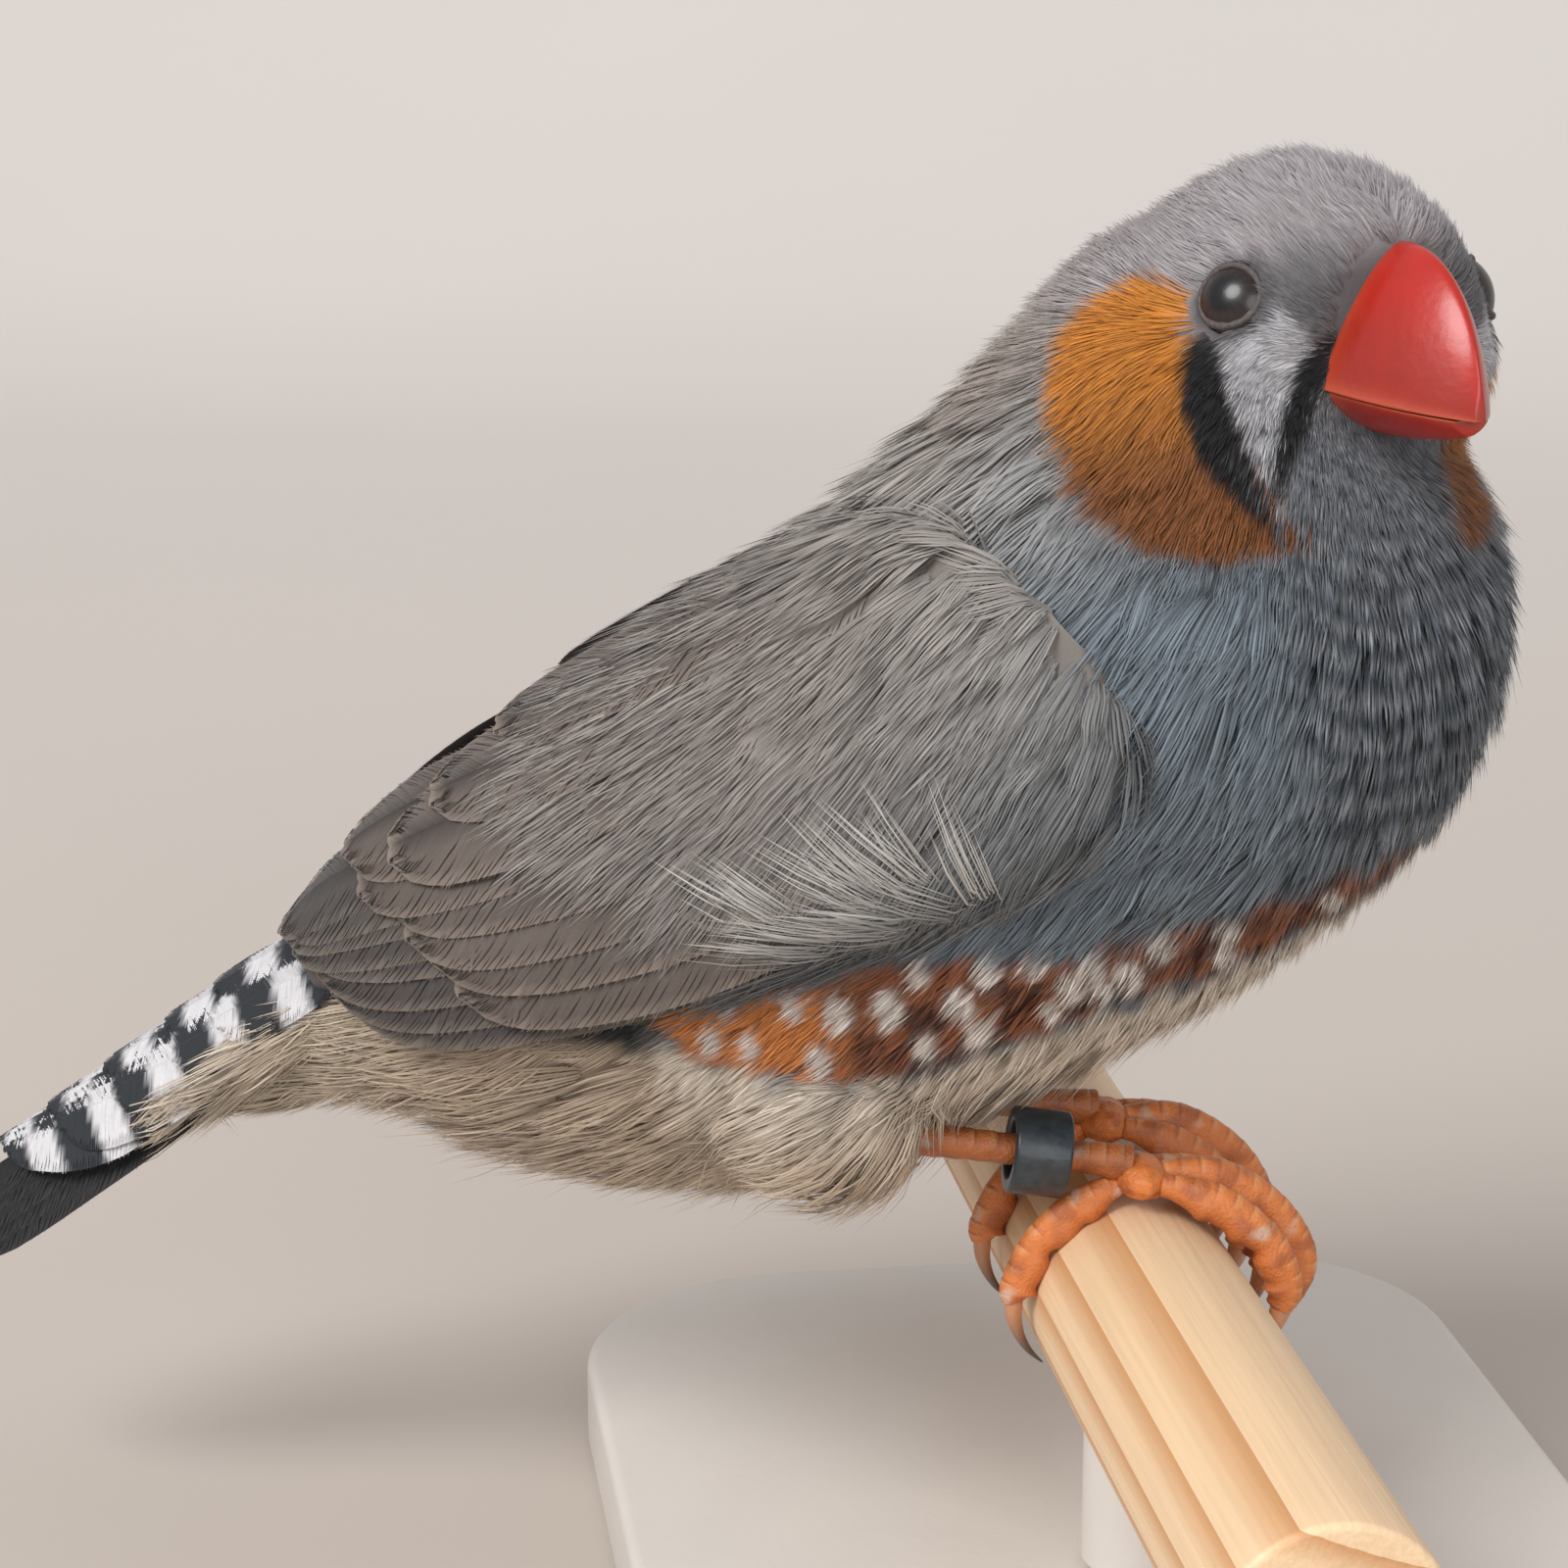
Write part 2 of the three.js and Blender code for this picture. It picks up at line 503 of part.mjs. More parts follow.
// Each tier: how many feathers, the first and last one's root and tip as [s, angle], their width, and their
// height over the core
const WING_TIERS = {
  primaries: { count: 6, from: [[0.46, 82], [0.4, 50]], to: [[0.15, 66], [0.095, 14]], wide: 5.0, over: [0, 0.5] },
  secondaries: { count: 4, from: [[0.52, 82], [0.5, 46]], to: [[0.25, 66], [0.2, 26]], wide: 5.6, over: [0.35, 0.7] },
  tertials: { count: 3, from: [[0.55, 50], [0.56, 26]], to: [[0.28, 36], [0.36, 13]], wide: 7.0, over: [0.85, 1.15] },
  coverts: { count: 5, from: [[0.6, 88], [0.6, 44]], to: [[0.42, 83], [0.44, 36]], wide: 6.2, over: [0.5, 0.9] },
};
const between = ([first, last], f) => first + (last - first) * f;
const spotBetween = ([first, last], f) => first.map((v, i) => between([v, last[i]], f));
function wingShape() {
  const vanes = Object.values(WING_TIERS).flatMap(({ count, from, to, wide, over }) =>
    [...Array(count).keys()].map((k) => {
      const f = k / (count - 1);
      const [s, angle] = spotBetween(to, f);
      const tip = [s + 0.006 * jitter(), angle + 1.2 * jitter()];
      return wingVane({ from: spotBetween(from, f), to: tip, wide, over: between(over, f) });
    }),
  );
  return settled(join([wingCore(), ...vanes]).subtract(midPlaneRoom).subtract(covertRoom));
}

// Legs. A foot's own frame lies across the perch: a forward, z up, d along the perch
const perchSpot = (d, a, z) => alongPerch.clone().multiplyScalar(d).addScaledVector(acrossPerch, a).add(V(0, 0, z));
const TOES = {
  hind: { path: [[-0.9, 6.2], [-2.9, 5.35], [-5.0, 3.5], [-5.95, 1.3], [-5.95, 0.5]], root: 0, mid: 0, radius: 0.88 },
  inner: { path: [[0.6, 6.6], [3.4, 5.9], [5.9, 4.0], [6.9, 1.7], [6.6, 0.4]], root: -1.3, mid: -2.0, radius: 0.9 },
  middle: { path: [[0.6, 6.6], [3.6, 6.4], [6.6, 4.6], [8.0, 1.8], [7.1, -0.6]], root: 0, mid: 0, radius: 1 },
  outer: { path: [[0.6, 6.6], [3.3, 5.8], [5.8, 3.9], [6.8, 1.5], [6.4, 0.1]], root: 1.3, mid: 2.0, radius: 0.9 },
};
const CLAW = { length: 3.4, radius: 0.5 };
const PAD = { at: [0, 6.5], size: [1.95, 1.25, 1.0] }; // along the perch, across it, up

function toe(d, { path, root, mid, radius }) {
  const last = path.length - 1;
  const points = path.map(([a, z], i) => perchSpot(d + root + (mid - root) * Math.min(1, (2 * i) / last), a, z));
  const radii = [0.62, 1, 0.86, 0.98, 0.74].map((k) => k * radius * TOE_RADIUS);
  return limb(points, radii, { steps: 8, round: 6 });
}
// A claw curves on from the toe's end towards the perch
function claw(d, { path, mid, radius }) {
  const [[a0, z0], [a1, z1]] = path.slice(-2);
  const turn = Math.sign(a1) * -1;
  const heading = Math.atan2(z1 - z0, a1 - a0);
  const points = [];
  let [a, z, h] = [a1, z1, heading];
  const step = CLAW.length / 4;
  a += Math.cos(h) * (GAP + 0.25);
  z += Math.sin(h) * (GAP + 0.25);
  for (let i = 0; i <= 4; i++) {
    points.push(perchSpot(d + mid, a, z));
    a += Math.cos(h) * step;
    z += Math.sin(h) * step;
    h += turn * rad(15);
  }
  const radii = [1, 0.85, 0.6, 0.35, 0.14].map((k) => k * radius * CLAW.radius);
  return limb(points, radii, { steps: 4, round: 5 });
}

// The pad between the shank and the toes, grown where room for it is cut
function pad(d, grow = 0) {
  const basis = new THREE.Matrix4().makeBasis(alongPerch, acrossPerch, V(0, 0, 1));
  basis.setPosition(perchSpot(d, ...PAD.at));
  return place(ball(1, V(0, 0, 0), 12, 8, PAD.size.map((half) => half + grow)), basis);
}
// The shank runs back from the pad into the belly, turning a little towards the middle
const SHANK = { path: [[-0.4, 7.1], [-2.6, 7.5], [-4.85, 7.8], [-8, 8.3], [-10.6, 8.7], [-13, 9.2]], inward: 0.8 };
const SHANK_SWELL = [1.25, 1, 1, 1, 1.1, 1.3];
function shank(d, side, grow = 0) {
  const last = SHANK.path.length - 1;
  const points = SHANK.path.map(([a, z], i) => perchSpot(d - (side * SHANK.inward * i) / last, a, z));
  return limb(points, SHANK_SWELL.map((k) => k * SHANK_RADIUS + grow), { steps: 7, round: 8 });
}
// Feathers over the thigh and ankle, part of the torso
function thigh(d, side) {
  const basis = new THREE.Matrix4().makeBasis(alongPerch, acrossPerch, V(0, 0, 1));
  basis.setPosition(perchSpot(d - side * 0.6, ...THIGH.at));
  return place(ball(1, V(0, 0, 0), 12, 8, THIGH.size), basis);
}
// The ring round the right shank
function band(grow = 0) {
  const [a, z] = [BAND.across, 7.8];
  const along = perchSpot(-0.4, -5.4, 0.8).normalize();
  const tube = (radius, length) => {
    const g = new THREE.CylinderGeometry(radius, radius, length, 18);
    g.applyQuaternion(new THREE.Quaternion().setFromUnitVectors(V(0, 1, 0), along));
    g.translate(...perchSpot(FEET.right - 0.35, a, z));
    return solid(g);
  };
  const outer = tube(BAND.outer + grow, BAND.length + 2 * grow);
  return grow ? outer : outer.subtract(tube(BAND.inner, BAND.length + 2));
}

// The display stand's base in the row's frame, its long side along the perch
function base() {
  const { length, width, thick, corner, bevel } = BASE;
  const [x, y] = [width / 2 - corner - bevel, length / 2 - corner - bevel];
  const shape = new THREE.Shape();
  for (const [cx, cy, start] of [[x, y, 0], [-x, y, 90], [-x, -y, 180], [x, -y, 270]])
    shape.absarc(cx, cy, corner, rad(start), rad(start + 90));
  const g = new THREE.ExtrudeGeometry(shape, {
    depth: thick - 2 * bevel, bevelThickness: bevel, bevelSize: bevel, bevelSegments: 1, curveSegments: 6,
  });
  g.rotateZ(rad(PERCH.turn));
  g.translate(0, 0, bevel);
  return solid(g);
}
function rod() {
  const top = PERCH.height;
  const g = new THREE.CylinderGeometry(ROD_RADIUS, ROD_RADIUS, top - BASE.thick - GAP, 16);
  g.rotateX(rad(90));
  g.translate(0, 0, (top + BASE.thick + GAP) / 2);
  const seat = bar(PERCH.radius + GAP, -40, 40).translate([0, 0, PERCH.height]);
  return solid(g).subtract(seat);
}

const bird = new THREE.Group();
bird.position.copy(alongPerch).multiplyScalar(-STAND_AT).setZ(PERCH.height);
const nodes = [];

for (const [side, d] of Object.entries(FEET)) {
  const turn = side === "right" ? 1 : -1;
  torso = torso.add(thigh(d, turn)).subtract(shank(d, turn, GAP)).subtract(pad(d, GAP));
  nodes.push(node(`shank_${side}`, shank(d, turn).subtract(pad(d, GAP)), MATERIALS.leg));
  nodes.push(node(`foot_${side}`, pad(d), MATERIALS.leg));
  for (const [name, form] of Object.entries(TOES)) {
    const turned = { ...form, root: form.root * turn, mid: form.mid * turn };
    const free = toe(d, turned).subtract(pad(d, GAP)).subtract(shank(d, turn, GAP));
    nodes.push(node(`toe_${name}_${side}`, free, MATERIALS.leg));
    nodes.push(node(`claw_${name}_${side}`, claw(d, turned), MATERIALS.claw));
  }
}
torso = torso.subtract(band(GAP)).subtract(perchRoom);

const wing = wingShape();
nodes.push(
  node("torso", torso, MATERIALS.body),
  node("neck", neck, MATERIALS.head),
  node("head", head, MATERIALS.head),
  ...eyes,
  node("beak_upper", bill(true), MATERIALS.bill),
  node("beak_lower", bill(false), MATERIALS.bill),
  ...sides.map(([name, side]) => node(`wing_${name}`, onSide(wing, side), MATERIALS.wing)),
  node("uppertail_coverts", upperCoverts(), MATERIALS.barred),
  node("tail", tailFan(), MATERIALS.tail),
  node("undertail_coverts", underCoverts(), MATERIALS.under),
  node("leg_band", band(), MATERIALS.band),
  node("perch", bar(PERCH.radius, -PERCH.far, PERCH.near), MATERIALS.perch),
);
bird.add(...nodes);

const model = new THREE.Group();
model.add(bird, node("stand_base", base(), MATERIALS.stand), node("stand_rod", rod(), MATERIALS.stand));
export default model;
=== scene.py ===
# %% [markdown]
# A male zebra finch on its perch, life size. The figure is built from the inside out, as a model maker
# would: a bare skin first, then thousands of small feathers laid over it along their lie, then the stiff
# feathers of the wings and the tail, and last the hard parts: bill, eyes, legs, ring, perch and stand.
# Everything is worked out in millimetres, in the bird's own frame, whose origin is on the perch's axis
# under the body. One helper turns that into the metres of the row's frame when a mesh is made.

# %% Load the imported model
import json
import math
import bpy
import numpy as np
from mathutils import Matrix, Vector
from mathutils.bvhtree import BVHTree
from mathutils.kdtree import KDTree

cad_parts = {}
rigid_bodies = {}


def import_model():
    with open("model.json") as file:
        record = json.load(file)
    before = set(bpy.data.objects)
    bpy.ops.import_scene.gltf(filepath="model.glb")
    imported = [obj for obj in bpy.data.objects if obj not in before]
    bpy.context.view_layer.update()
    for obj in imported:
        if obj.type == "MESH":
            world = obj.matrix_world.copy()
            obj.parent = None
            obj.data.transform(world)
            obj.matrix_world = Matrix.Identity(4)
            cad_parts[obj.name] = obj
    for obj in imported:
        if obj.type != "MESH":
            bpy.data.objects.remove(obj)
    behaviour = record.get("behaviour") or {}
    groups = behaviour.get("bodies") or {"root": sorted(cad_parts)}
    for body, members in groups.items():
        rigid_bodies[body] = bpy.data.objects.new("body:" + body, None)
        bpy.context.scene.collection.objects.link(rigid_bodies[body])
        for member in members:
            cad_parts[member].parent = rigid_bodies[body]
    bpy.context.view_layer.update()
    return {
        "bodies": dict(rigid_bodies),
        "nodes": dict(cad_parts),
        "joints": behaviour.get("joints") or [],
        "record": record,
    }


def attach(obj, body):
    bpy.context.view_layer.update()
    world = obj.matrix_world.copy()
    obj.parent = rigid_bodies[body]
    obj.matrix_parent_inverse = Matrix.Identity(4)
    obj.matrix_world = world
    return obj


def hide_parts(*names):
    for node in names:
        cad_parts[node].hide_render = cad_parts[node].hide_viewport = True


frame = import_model()

# %% The frames and the driving sizes
MM = 0.001
PERCH = {"radius": 5.0, "far": 26.0, "near": 40.0, "turn": math.radians(20), "height": 18.0}
STAND_AT = 7.0
ALONG = np.array([math.sin(PERCH["turn"]), -math.cos(PERCH["turn"]), 0.0])
ACROSS = np.array([math.cos(PERCH["turn"]), math.sin(PERCH["turn"]), 0.0])
BIRD_AT = np.array([0, 0, PERCH["height"]]) - STAND_AT * ALONG
SEED = 12
TINY = 1e-9
chance = np.random.default_rng(SEED)


def to_row(points):
    return (np.asarray(points, float) + BIRD_AT) * MM


def unit(v):
    return v / np.maximum(np.linalg.norm(v, axis=-1, keepdims=True), TINY)


def length_of(v):
    return np.linalg.norm(v, axis=-1)


def fade(value, low, high):
    t = np.clip((value - low) / (high - low), 0, 1)
    return t * t * (3 - 2 * t)


def near(away, outer, inner):
    """1 where a distance is under inner, fading to 0 at outer."""
    return fade(-away, -outer, -inner)


def mix(a, b, share):
    return a + (b - a) * share[..., None]


def grid(*lines):
    return np.meshgrid(*lines, indexing="ij")


def circle(count):
    """The angles of so many places, evenly round a circle."""
    return np.arange(count) * 2 * math.pi / count


def folded(angle):
    """An angle round the body made alike on both sides: from the back (0) to the belly (180)."""
    return np.where(angle > 180, 360 - angle, angle)


def through(values):
    """A smooth curve through equally spaced values, from 0 to 1."""
    v = np.asarray(values, float)
    last = len(v) - 1

    def at(t):
        place = np.clip(t, 0, 1) * last
        i = np.minimum(np.floor(place).astype(int), last - 1)
        f = place - i
        a, b, c, d = (v[np.clip(i + k, 0, last)] for k in (-1, 0, 1, 2))
        bend = (2 * a - 5 * b + 4 * c - d) * f**2 + (3 * b - a - 3 * c + d) * f**3
        return 0.5 * (2 * b + (c - a) * f + bend)

    return at


def keyed(*pairs):
    """A smooth curve through (place, value) pairs."""
    x, y = np.array(pairs, float).T
    curve = through(y)
    return lambda at: curve(np.interp(at, x, np.linspace(0, 1, len(x))))


def wobble(points, pitch, turn=0.0):
    """A soft, endless unevenness from -1 to 1, about one pitch from crest to crest."""
    p = np.asarray(points) * (2 * math.pi / pitch)
    x, y, z = p[..., 0], p[..., 1], p[..., 2]
    a = np.sin(x + 1.3 * np.sin(0.7 * y + turn) + turn)
    b = np.sin(0.9 * y + 1.7 * np.sin(0.8 * z + 2 * turn) + 2.1)
    c = np.sin(1.1 * z + 1.5 * np.sin(0.6 * x - turn) + 4.2)
    return (a + b + c) / 3


# %% [markdown]
# The trunk is a loft of ribs from the tail to the throat. Each rib has a point on the back, a point on the
# belly and half its width. A place on it is a share s of the way along and an angle, from the back (0) over
# the bird's right side (90) to the belly (180). The head is a second loft in a frame of its own, turned to
# the bird's right.

# %% The trunk's surface
RIBS = [
    (-45.7, 9.7, -46.2, 3.5, 2.7), (-41.6, 13.1, -40.2, 4.5, 4.8), (-37.9, 16.3, -33.7, 4.7, 7.2),
    (-34.2, 19.8, -26.3, 2.9, 10.2), (-30.0, 23.6, -19.3, 2.6, 12.4), (-24.9, 27.6, -12.0, 3.8, 13.9),
    (-19.3, 31.8, -5.0, 7.2, 14.7), (-14.7, 35.7, 2.4, 11.6, 15.0), (-11.3, 39.6, 9.4, 16.7, 15.0),
    (-8.9, 42.7, 15.4, 22.7, 14.3), (-6.5, 45.6, 18.0, 29.2, 12.8), (-4.0, 48.5, 17.8, 35.3, 11.2),
    (-0.5, 50.6, 15.4, 39.9, 8.8), (4.3, 49.9, 12.2, 43.6, 5.1),
]
TRUNK_EGG = 0.1
trunk_curves = [through(column) for column in zip(*RIBS)]


def trunk_at(s, angle, grow=0.0):
    s, a = np.asarray(s, float), np.radians(angle)
    bx, bz, vx, vz, half = (curve(s) for curve in trunk_curves)
    up = np.cos(a) * (1 + 2 * grow / np.hypot(bx - vx, bz - vz))
    out = (half + grow) * np.sin(a) * (1 - TRUNK_EGG * np.cos(a))
    return np.stack([(bx + vx + (bx - vx) * up) / 2, -out, (bz + vz + (bz - vz) * up) / 2], -1)


# %% The head's surface, in the head's frame and back
HEAD = {"at": np.array([8.3, -1.4, 45.7]), "turn": -56.0, "nod": -3.5, "roll": -1.0}
HEAD_RIBS = [
    (-10.2, 1.9, -0.9, 1.5), (-9.3, 4.8, -3.3, 4.8), (-7.4, 6.9, -5.9, 7.4), (-4.6, 8.2, -7.8, 8.9),
    (-1.4, 8.8, -8.5, 8.7), (1.4, 8.6, -8.3, 7.9), (3.7, 7.9, -7.4, 7.0), (5.6, 7.1, -6.3, 6.0),
    (7.0, 6.4, -5.2, 5.1), (8.2, 5.4, -4.3, 3.9),
]
HEAD_EGG = 0.13
HEAD_SLANT = 0.12
HEAD_FRONT = 8.0
CHEEK = {"x": 1.5, "angle": 108.0, "out": 1.1, "along": 4.0, "around": 28.0}
BILL = {
    "root": 5.6, "tip": 14.4, "culmen": 4.6, "culmen_at": 7.9, "half": 3.45, "gape": -1.5, "tip_at": -2.6,
    "gonys": 1.35,
}
head_curves = [through(column) for column in zip(*HEAD_RIBS)]


def about(axis, degrees):
    a = math.radians(degrees)
    c, s = math.cos(a), math.sin(a)
    i, j = [(1, 2), (2, 0), (0, 1)][axis]
    m = np.eye(3)
    m[i, i], m[i, j], m[j, i], m[j, j] = c, -s, s, c
    return m


HEAD_TURN = about(2, HEAD["turn"]) @ about(1, HEAD["nod"]) @ about(0, HEAD["roll"])


def from_head(p):
    return np.asarray(p) @ HEAD_TURN.T + HEAD["at"]


def to_head(p):
    return (np.asarray(p) - HEAD["at"]) @ HEAD_TURN


def head_at(s, angle, grow=0.0):
    x, top, low, half = (curve(np.asarray(s, float)) for curve in head_curves)
    a = np.radians(angle)
    z = (top + low) / 2 + ((top - low) / 2 + grow) * np.cos(a)
    lean = HEAD_SLANT * (z - BILL["culmen"]) * np.clip(x / HEAD_FRONT, 0, 1) ** 2
    below = (folded(np.asarray(angle) % 360) - CHEEK["angle"]) / CHEEK["around"]
    cheek = CHEEK["out"] * np.exp(-(((x - CHEEK["x"]) / CHEEK["along"]) ** 2) - below**2)
    out = (half + cheek + grow) * np.sin(a) * (1 - HEAD_EGG * np.cos(a))
    return np.stack([x + lean + np.where(x > HEAD_FRONT, grow, 0), -out, z], -1)


# %% Where each eye sits
EYE = {"x": 4.1, "angle": 74.0, "ball": 2.1, "sunk": 1.68}
STEP = {"share": 0.02, "degrees": 4}
SIDES = {"right": 1, "left": -1}


def eye_seat(side):
    """An eyeball's centre, the way it faces and the place on the skin in front of it, in the head's frame."""
    shares = np.linspace(0, 1, 501)
    s = float(np.interp(EYE["x"], head_curves[0](shares), shares))
    on_skin = head_at(s, EYE["angle"])
    forward = head_at(s + STEP["share"], EYE["angle"]) - on_skin
    below = head_at(s, EYE["angle"] + STEP["degrees"]) - on_skin
    out = unit(np.cross(below, forward))
    out = out if out[1] < 0 else -out
    flip = np.array([1, side, 1])
    return (on_skin - EYE["sunk"] * out) * flip, out * flip, on_skin * flip


EYES = {name: eye_seat(side) for name, side in SIDES.items()}
print("right eye in the head's frame, mm", EYES["right"][0].round(2))

# %% [markdown]
# How deep the coat is decides how far the skin lies inside the finished outline. It is thinnest round the
# bill and the eyes and deepest on the belly, so it is one function of the place, used twice: to sink the
# skin, and to set how high each feather's tip stands.

# %% How deep the coat is
COAT = {"bill": 0.42, "eye": 0.35, "head": 1.0, "body": 1.7, "belly": 2.0, "thinner_at_tail": 0.55}
HEAD_ROUND = np.array([11.5, 10.5, 10.5])
BILL_BASE = np.array([8.6, 0, 0.2])


def coat_depth(p):
    h = to_head(p)
    on_head = near(length_of(h / HEAD_ROUND), 1.35, 1.0)
    body = COAT["body"] + (COAT["belly"] - COAT["body"]) * fade(-p[..., 2], -16, -8)
    depth = body + (COAT["head"] - body) * on_head
    from_bill = length_of((h - BILL_BASE) / [1, 1, 1.2])
    depth = COAT["bill"] + (depth - COAT["bill"]) * fade(from_bill, 3.4, 7.5)
    for *_, on_skin in EYES.values():
        by_eye = COAT["eye"] + (depth - COAT["eye"]) * fade(length_of(h - on_skin), 1.8, 4.2)
        depth = np.minimum(depth, by_eye)
    tail_end = fade(-p[..., 0], 34, 44)
    return depth * (1 - COAT["thinner_at_tail"] * tail_end)


# %% Meshes from arrays
MAP_NAME = "OFBake"


def fill_mesh(name, points, faces):
    """A mesh from an array of corners and an array of faces that all have as many corners."""
    mesh = bpy.data.meshes.new(name)
    points, faces = np.asarray(points, float), np.asarray(faces, np.int64)
    mesh.vertices.add(len(points))
    mesh.vertices.foreach_set("co", points.astype(np.float32).ravel())
    mesh.loops.add(faces.size)
    mesh.loops.foreach_set("vertex_index", faces.astype(np.int32).ravel())
    mesh.polygons.add(len(faces))
    mesh.polygons.foreach_set("loop_start", np.arange(0, faces.size, faces.shape[1], dtype=np.int32))
    mesh.update(calc_edges=True)
    mesh.validate()
    return mesh


def give_colours(mesh, rgb):
    """Colours in linear light, one for each corner point, kept in the attribute the finishes read."""
    layer = mesh.color_attributes.new("Coat", "FLOAT_COLOR", "POINT")
    full = np.ones((len(rgb), 4), np.float32)
    full[:, :3] = rgb
    layer.data.foreach_set("color", full.ravel())


def give_map(mesh, uv):
    """A map from one pair for each point."""
    layer = mesh.uv_layers.new(name=MAP_NAME)
    corners = np.zeros(len(mesh.loops), np.int32)
    mesh.loops.foreach_get("vertex_index", corners)
    layer.data.foreach_set("uv", np.asarray(uv, np.float32)[corners].ravel())


made = {}


def add_piece(name, shape, look, *nodes):
    """Makes a piece in place of nodes. Its shape is points in mm, faces, colours and a map, and its look is
    a finish and that finish's slot. The slot is not used."""
    points, faces, colours, uv = shape
    finish, slot = look
    mesh = fill_mesh(name, to_row(np.reshape(points, (-1, 3))), faces)
    if colours is not None:
        give_colours(mesh, np.reshape(colours, (-1, 3)))
    give_map(mesh, np.clip(np.reshape(uv, (-1, 2)), 0, 1))
    mesh.materials.append(finish)
    mesh.shade_smooth()
    piece = bpy.data.objects.new(name, mesh)
    bpy.context.collection.objects.link(piece)
    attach(piece, "root")
    if nodes:
        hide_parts(*nodes)
    made[name] = len(faces) * (faces.shape[1] - 2)
    return piece


def grid_faces(rows, columns, closed=False):
    """Faces of a grid of points, row by row, whose columns may close into rings."""
    i = np.arange(rows - 1)[:, None]
    j = np.arange(columns if closed else columns - 1)[None, :]
    k = (j + 1) % columns
    corners = [i * columns + j, i * columns + k, (i + 1) * columns + k, (i + 1) * columns + j]
    return np.stack([c.ravel() for c in corners], -1)


# %% [markdown]
# Every finish is made of nodes. Colour comes from the markings, painted point by point into an attribute
# called Coat, and noise at the scale of single barbs breaks it up, so no feather is one flat colour.
# Feathers are dry and slightly silky: high roughness with a little sheen. One helper builds them all, with
# the numbers that differ.

# %% The feather finish
def node_of(tree, kind, **inputs):
    made_node = tree.nodes.new(kind)
    for key, value in inputs.items():
        made_node.inputs[key.replace("_", " ")].default_value = value
    return made_node


def new_finish(name, **shader):
    finish = bpy.data.materials.new(name)
    finish.use_nodes = True
    tree = finish.node_tree
    principled = tree.nodes["Principled BSDF"]
    for key, value in shader.items():
        principled.inputs[key.replace("_", " ")].default_value = value
    return finish, tree, principled


def uneven(tree, scale, detail, vector=None):
    """Noise in the object's own space, so many to the metre."""
    noise = node_of(tree, "ShaderNodeTexNoise", Scale=scale, Detail=detail)
    if vector is None:
        vector = tree.nodes.new("ShaderNodeTexCoord").outputs["Object"]
    tree.links.new(vector, noise.inputs["Vector"])
    return noise.outputs["Fac"]


def spread(tree, value, low, high, full=1.0):
    """Stretches a value from 0 to full to the range low to high."""
    ranged = node_of(tree, "ShaderNodeMapRange", From_Max=full, To_Min=low, To_Max=high)
    tree.links.new(value, ranged.inputs["Value"])
    return ranged.outputs["Result"]


def shade(tree, colour, value):
    """A colour times a value."""
    darker = tree.nodes.new("ShaderNodeVectorMath")
    darker.operation = "SCALE"
    tree.links.new(colour, darker.inputs["Vector"])
    tree.links.new(value, darker.inputs["Scale"])
    return darker.outputs["Vector"]


def bump_from(tree, principled, height, strength, depth):
    bump = node_of(tree, "ShaderNodeBump", Strength=strength, Distance=depth)
    tree.links.new(height, bump.inputs["Height"])
    tree.links.new(bump.outputs["Normal"], principled.inputs["Normal"])


def two_tones(tree, value, start, stop, start_at=0.0, stop_at=1.0):
    """A ramp of two colours."""
    ramp = tree.nodes.new("ShaderNodeValToRGB")
    for element, tone, place in zip(ramp.color_ramp.elements, (start, stop), (start_at, stop_at)):
        element.color = (*tone, 1)
        element.position = place
    tree.links.new(value, ramp.inputs["Fac"])
    return ramp.outputs["Color"]


def coat_finish(name, noises, relief=None, **shader):
    """A finish in the painted colours. A noise is (so many to the metre, detail, darkest, lightest), and the
    relief is (so many to the metre, detail, strength, depth in metres)."""
    finish, tree, principled = new_finish(name, **shader)
    coat = tree.nodes.new("ShaderNodeAttribute")
    coat.attribute_name = "Coat"
    colour = coat.outputs["Color"]
    for scale, detail, darkest, lightest in noises:
        colour = shade(tree, colour, spread(tree, uneven(tree, scale, detail), darkest, lightest))
    tree.links.new(colour, principled.inputs["Base Color"])
    if relief:
        scale, detail, strength, depth = relief
        bump_from(tree, principled, uneven(tree, scale, detail), strength, depth)
    return finish


def feather_finish(name, roughness=0.72, sheen=0.25, patchy=0.16):
    noises = [(9000, 3, 1 - patchy, 1 + patchy), (450, 3, 1 - patchy / 2, 1 + patchy / 2)]
    return coat_finish(name, noises, (6000, 3, 0.25, 0.0001), Roughness=roughness, Sheen_Weight=sheen,
                       Sheen_Roughness=0.45, Specular_IOR_Level=0.25)


BODY_LOOK = feather_finish("soft body feathers"), "body_feathers"
HEAD_LOOK = feather_finish("short head feathers", sheen=0.3), "head_feathers"
WING_LOOK = feather_finish("wing feathers", roughness=0.6, sheen=0.15, patchy=0.1), "wing_feathers"
TAIL_LOOK = feather_finish("tail feathers", roughness=0.58, sheen=0.12, patchy=0.12), "tail_feathers"
BARRED_LOOK = feather_finish("barred feathers", roughness=0.65, sheen=0.2, patchy=0.1), "barred_feathers"
PALE_LOOK = feather_finish("pale down", roughness=0.8, sheen=0.35, patchy=0.08), "pale_feathers"
print("feather finishes", len(bpy.data.materials))

# %% [markdown]
# The markings are functions of the place, so the skin and every feather ask the same question and get the
# same answer. Outlines on the head are drawn in its side view or as lines with a width. Edges stay ragged,
# because each barb asks for its colour a little off its true place.

# %% Colours, as read in daylight
def paint(red, green, blue):
    return (np.array([red, green, blue]) / 255.0) ** 2.2


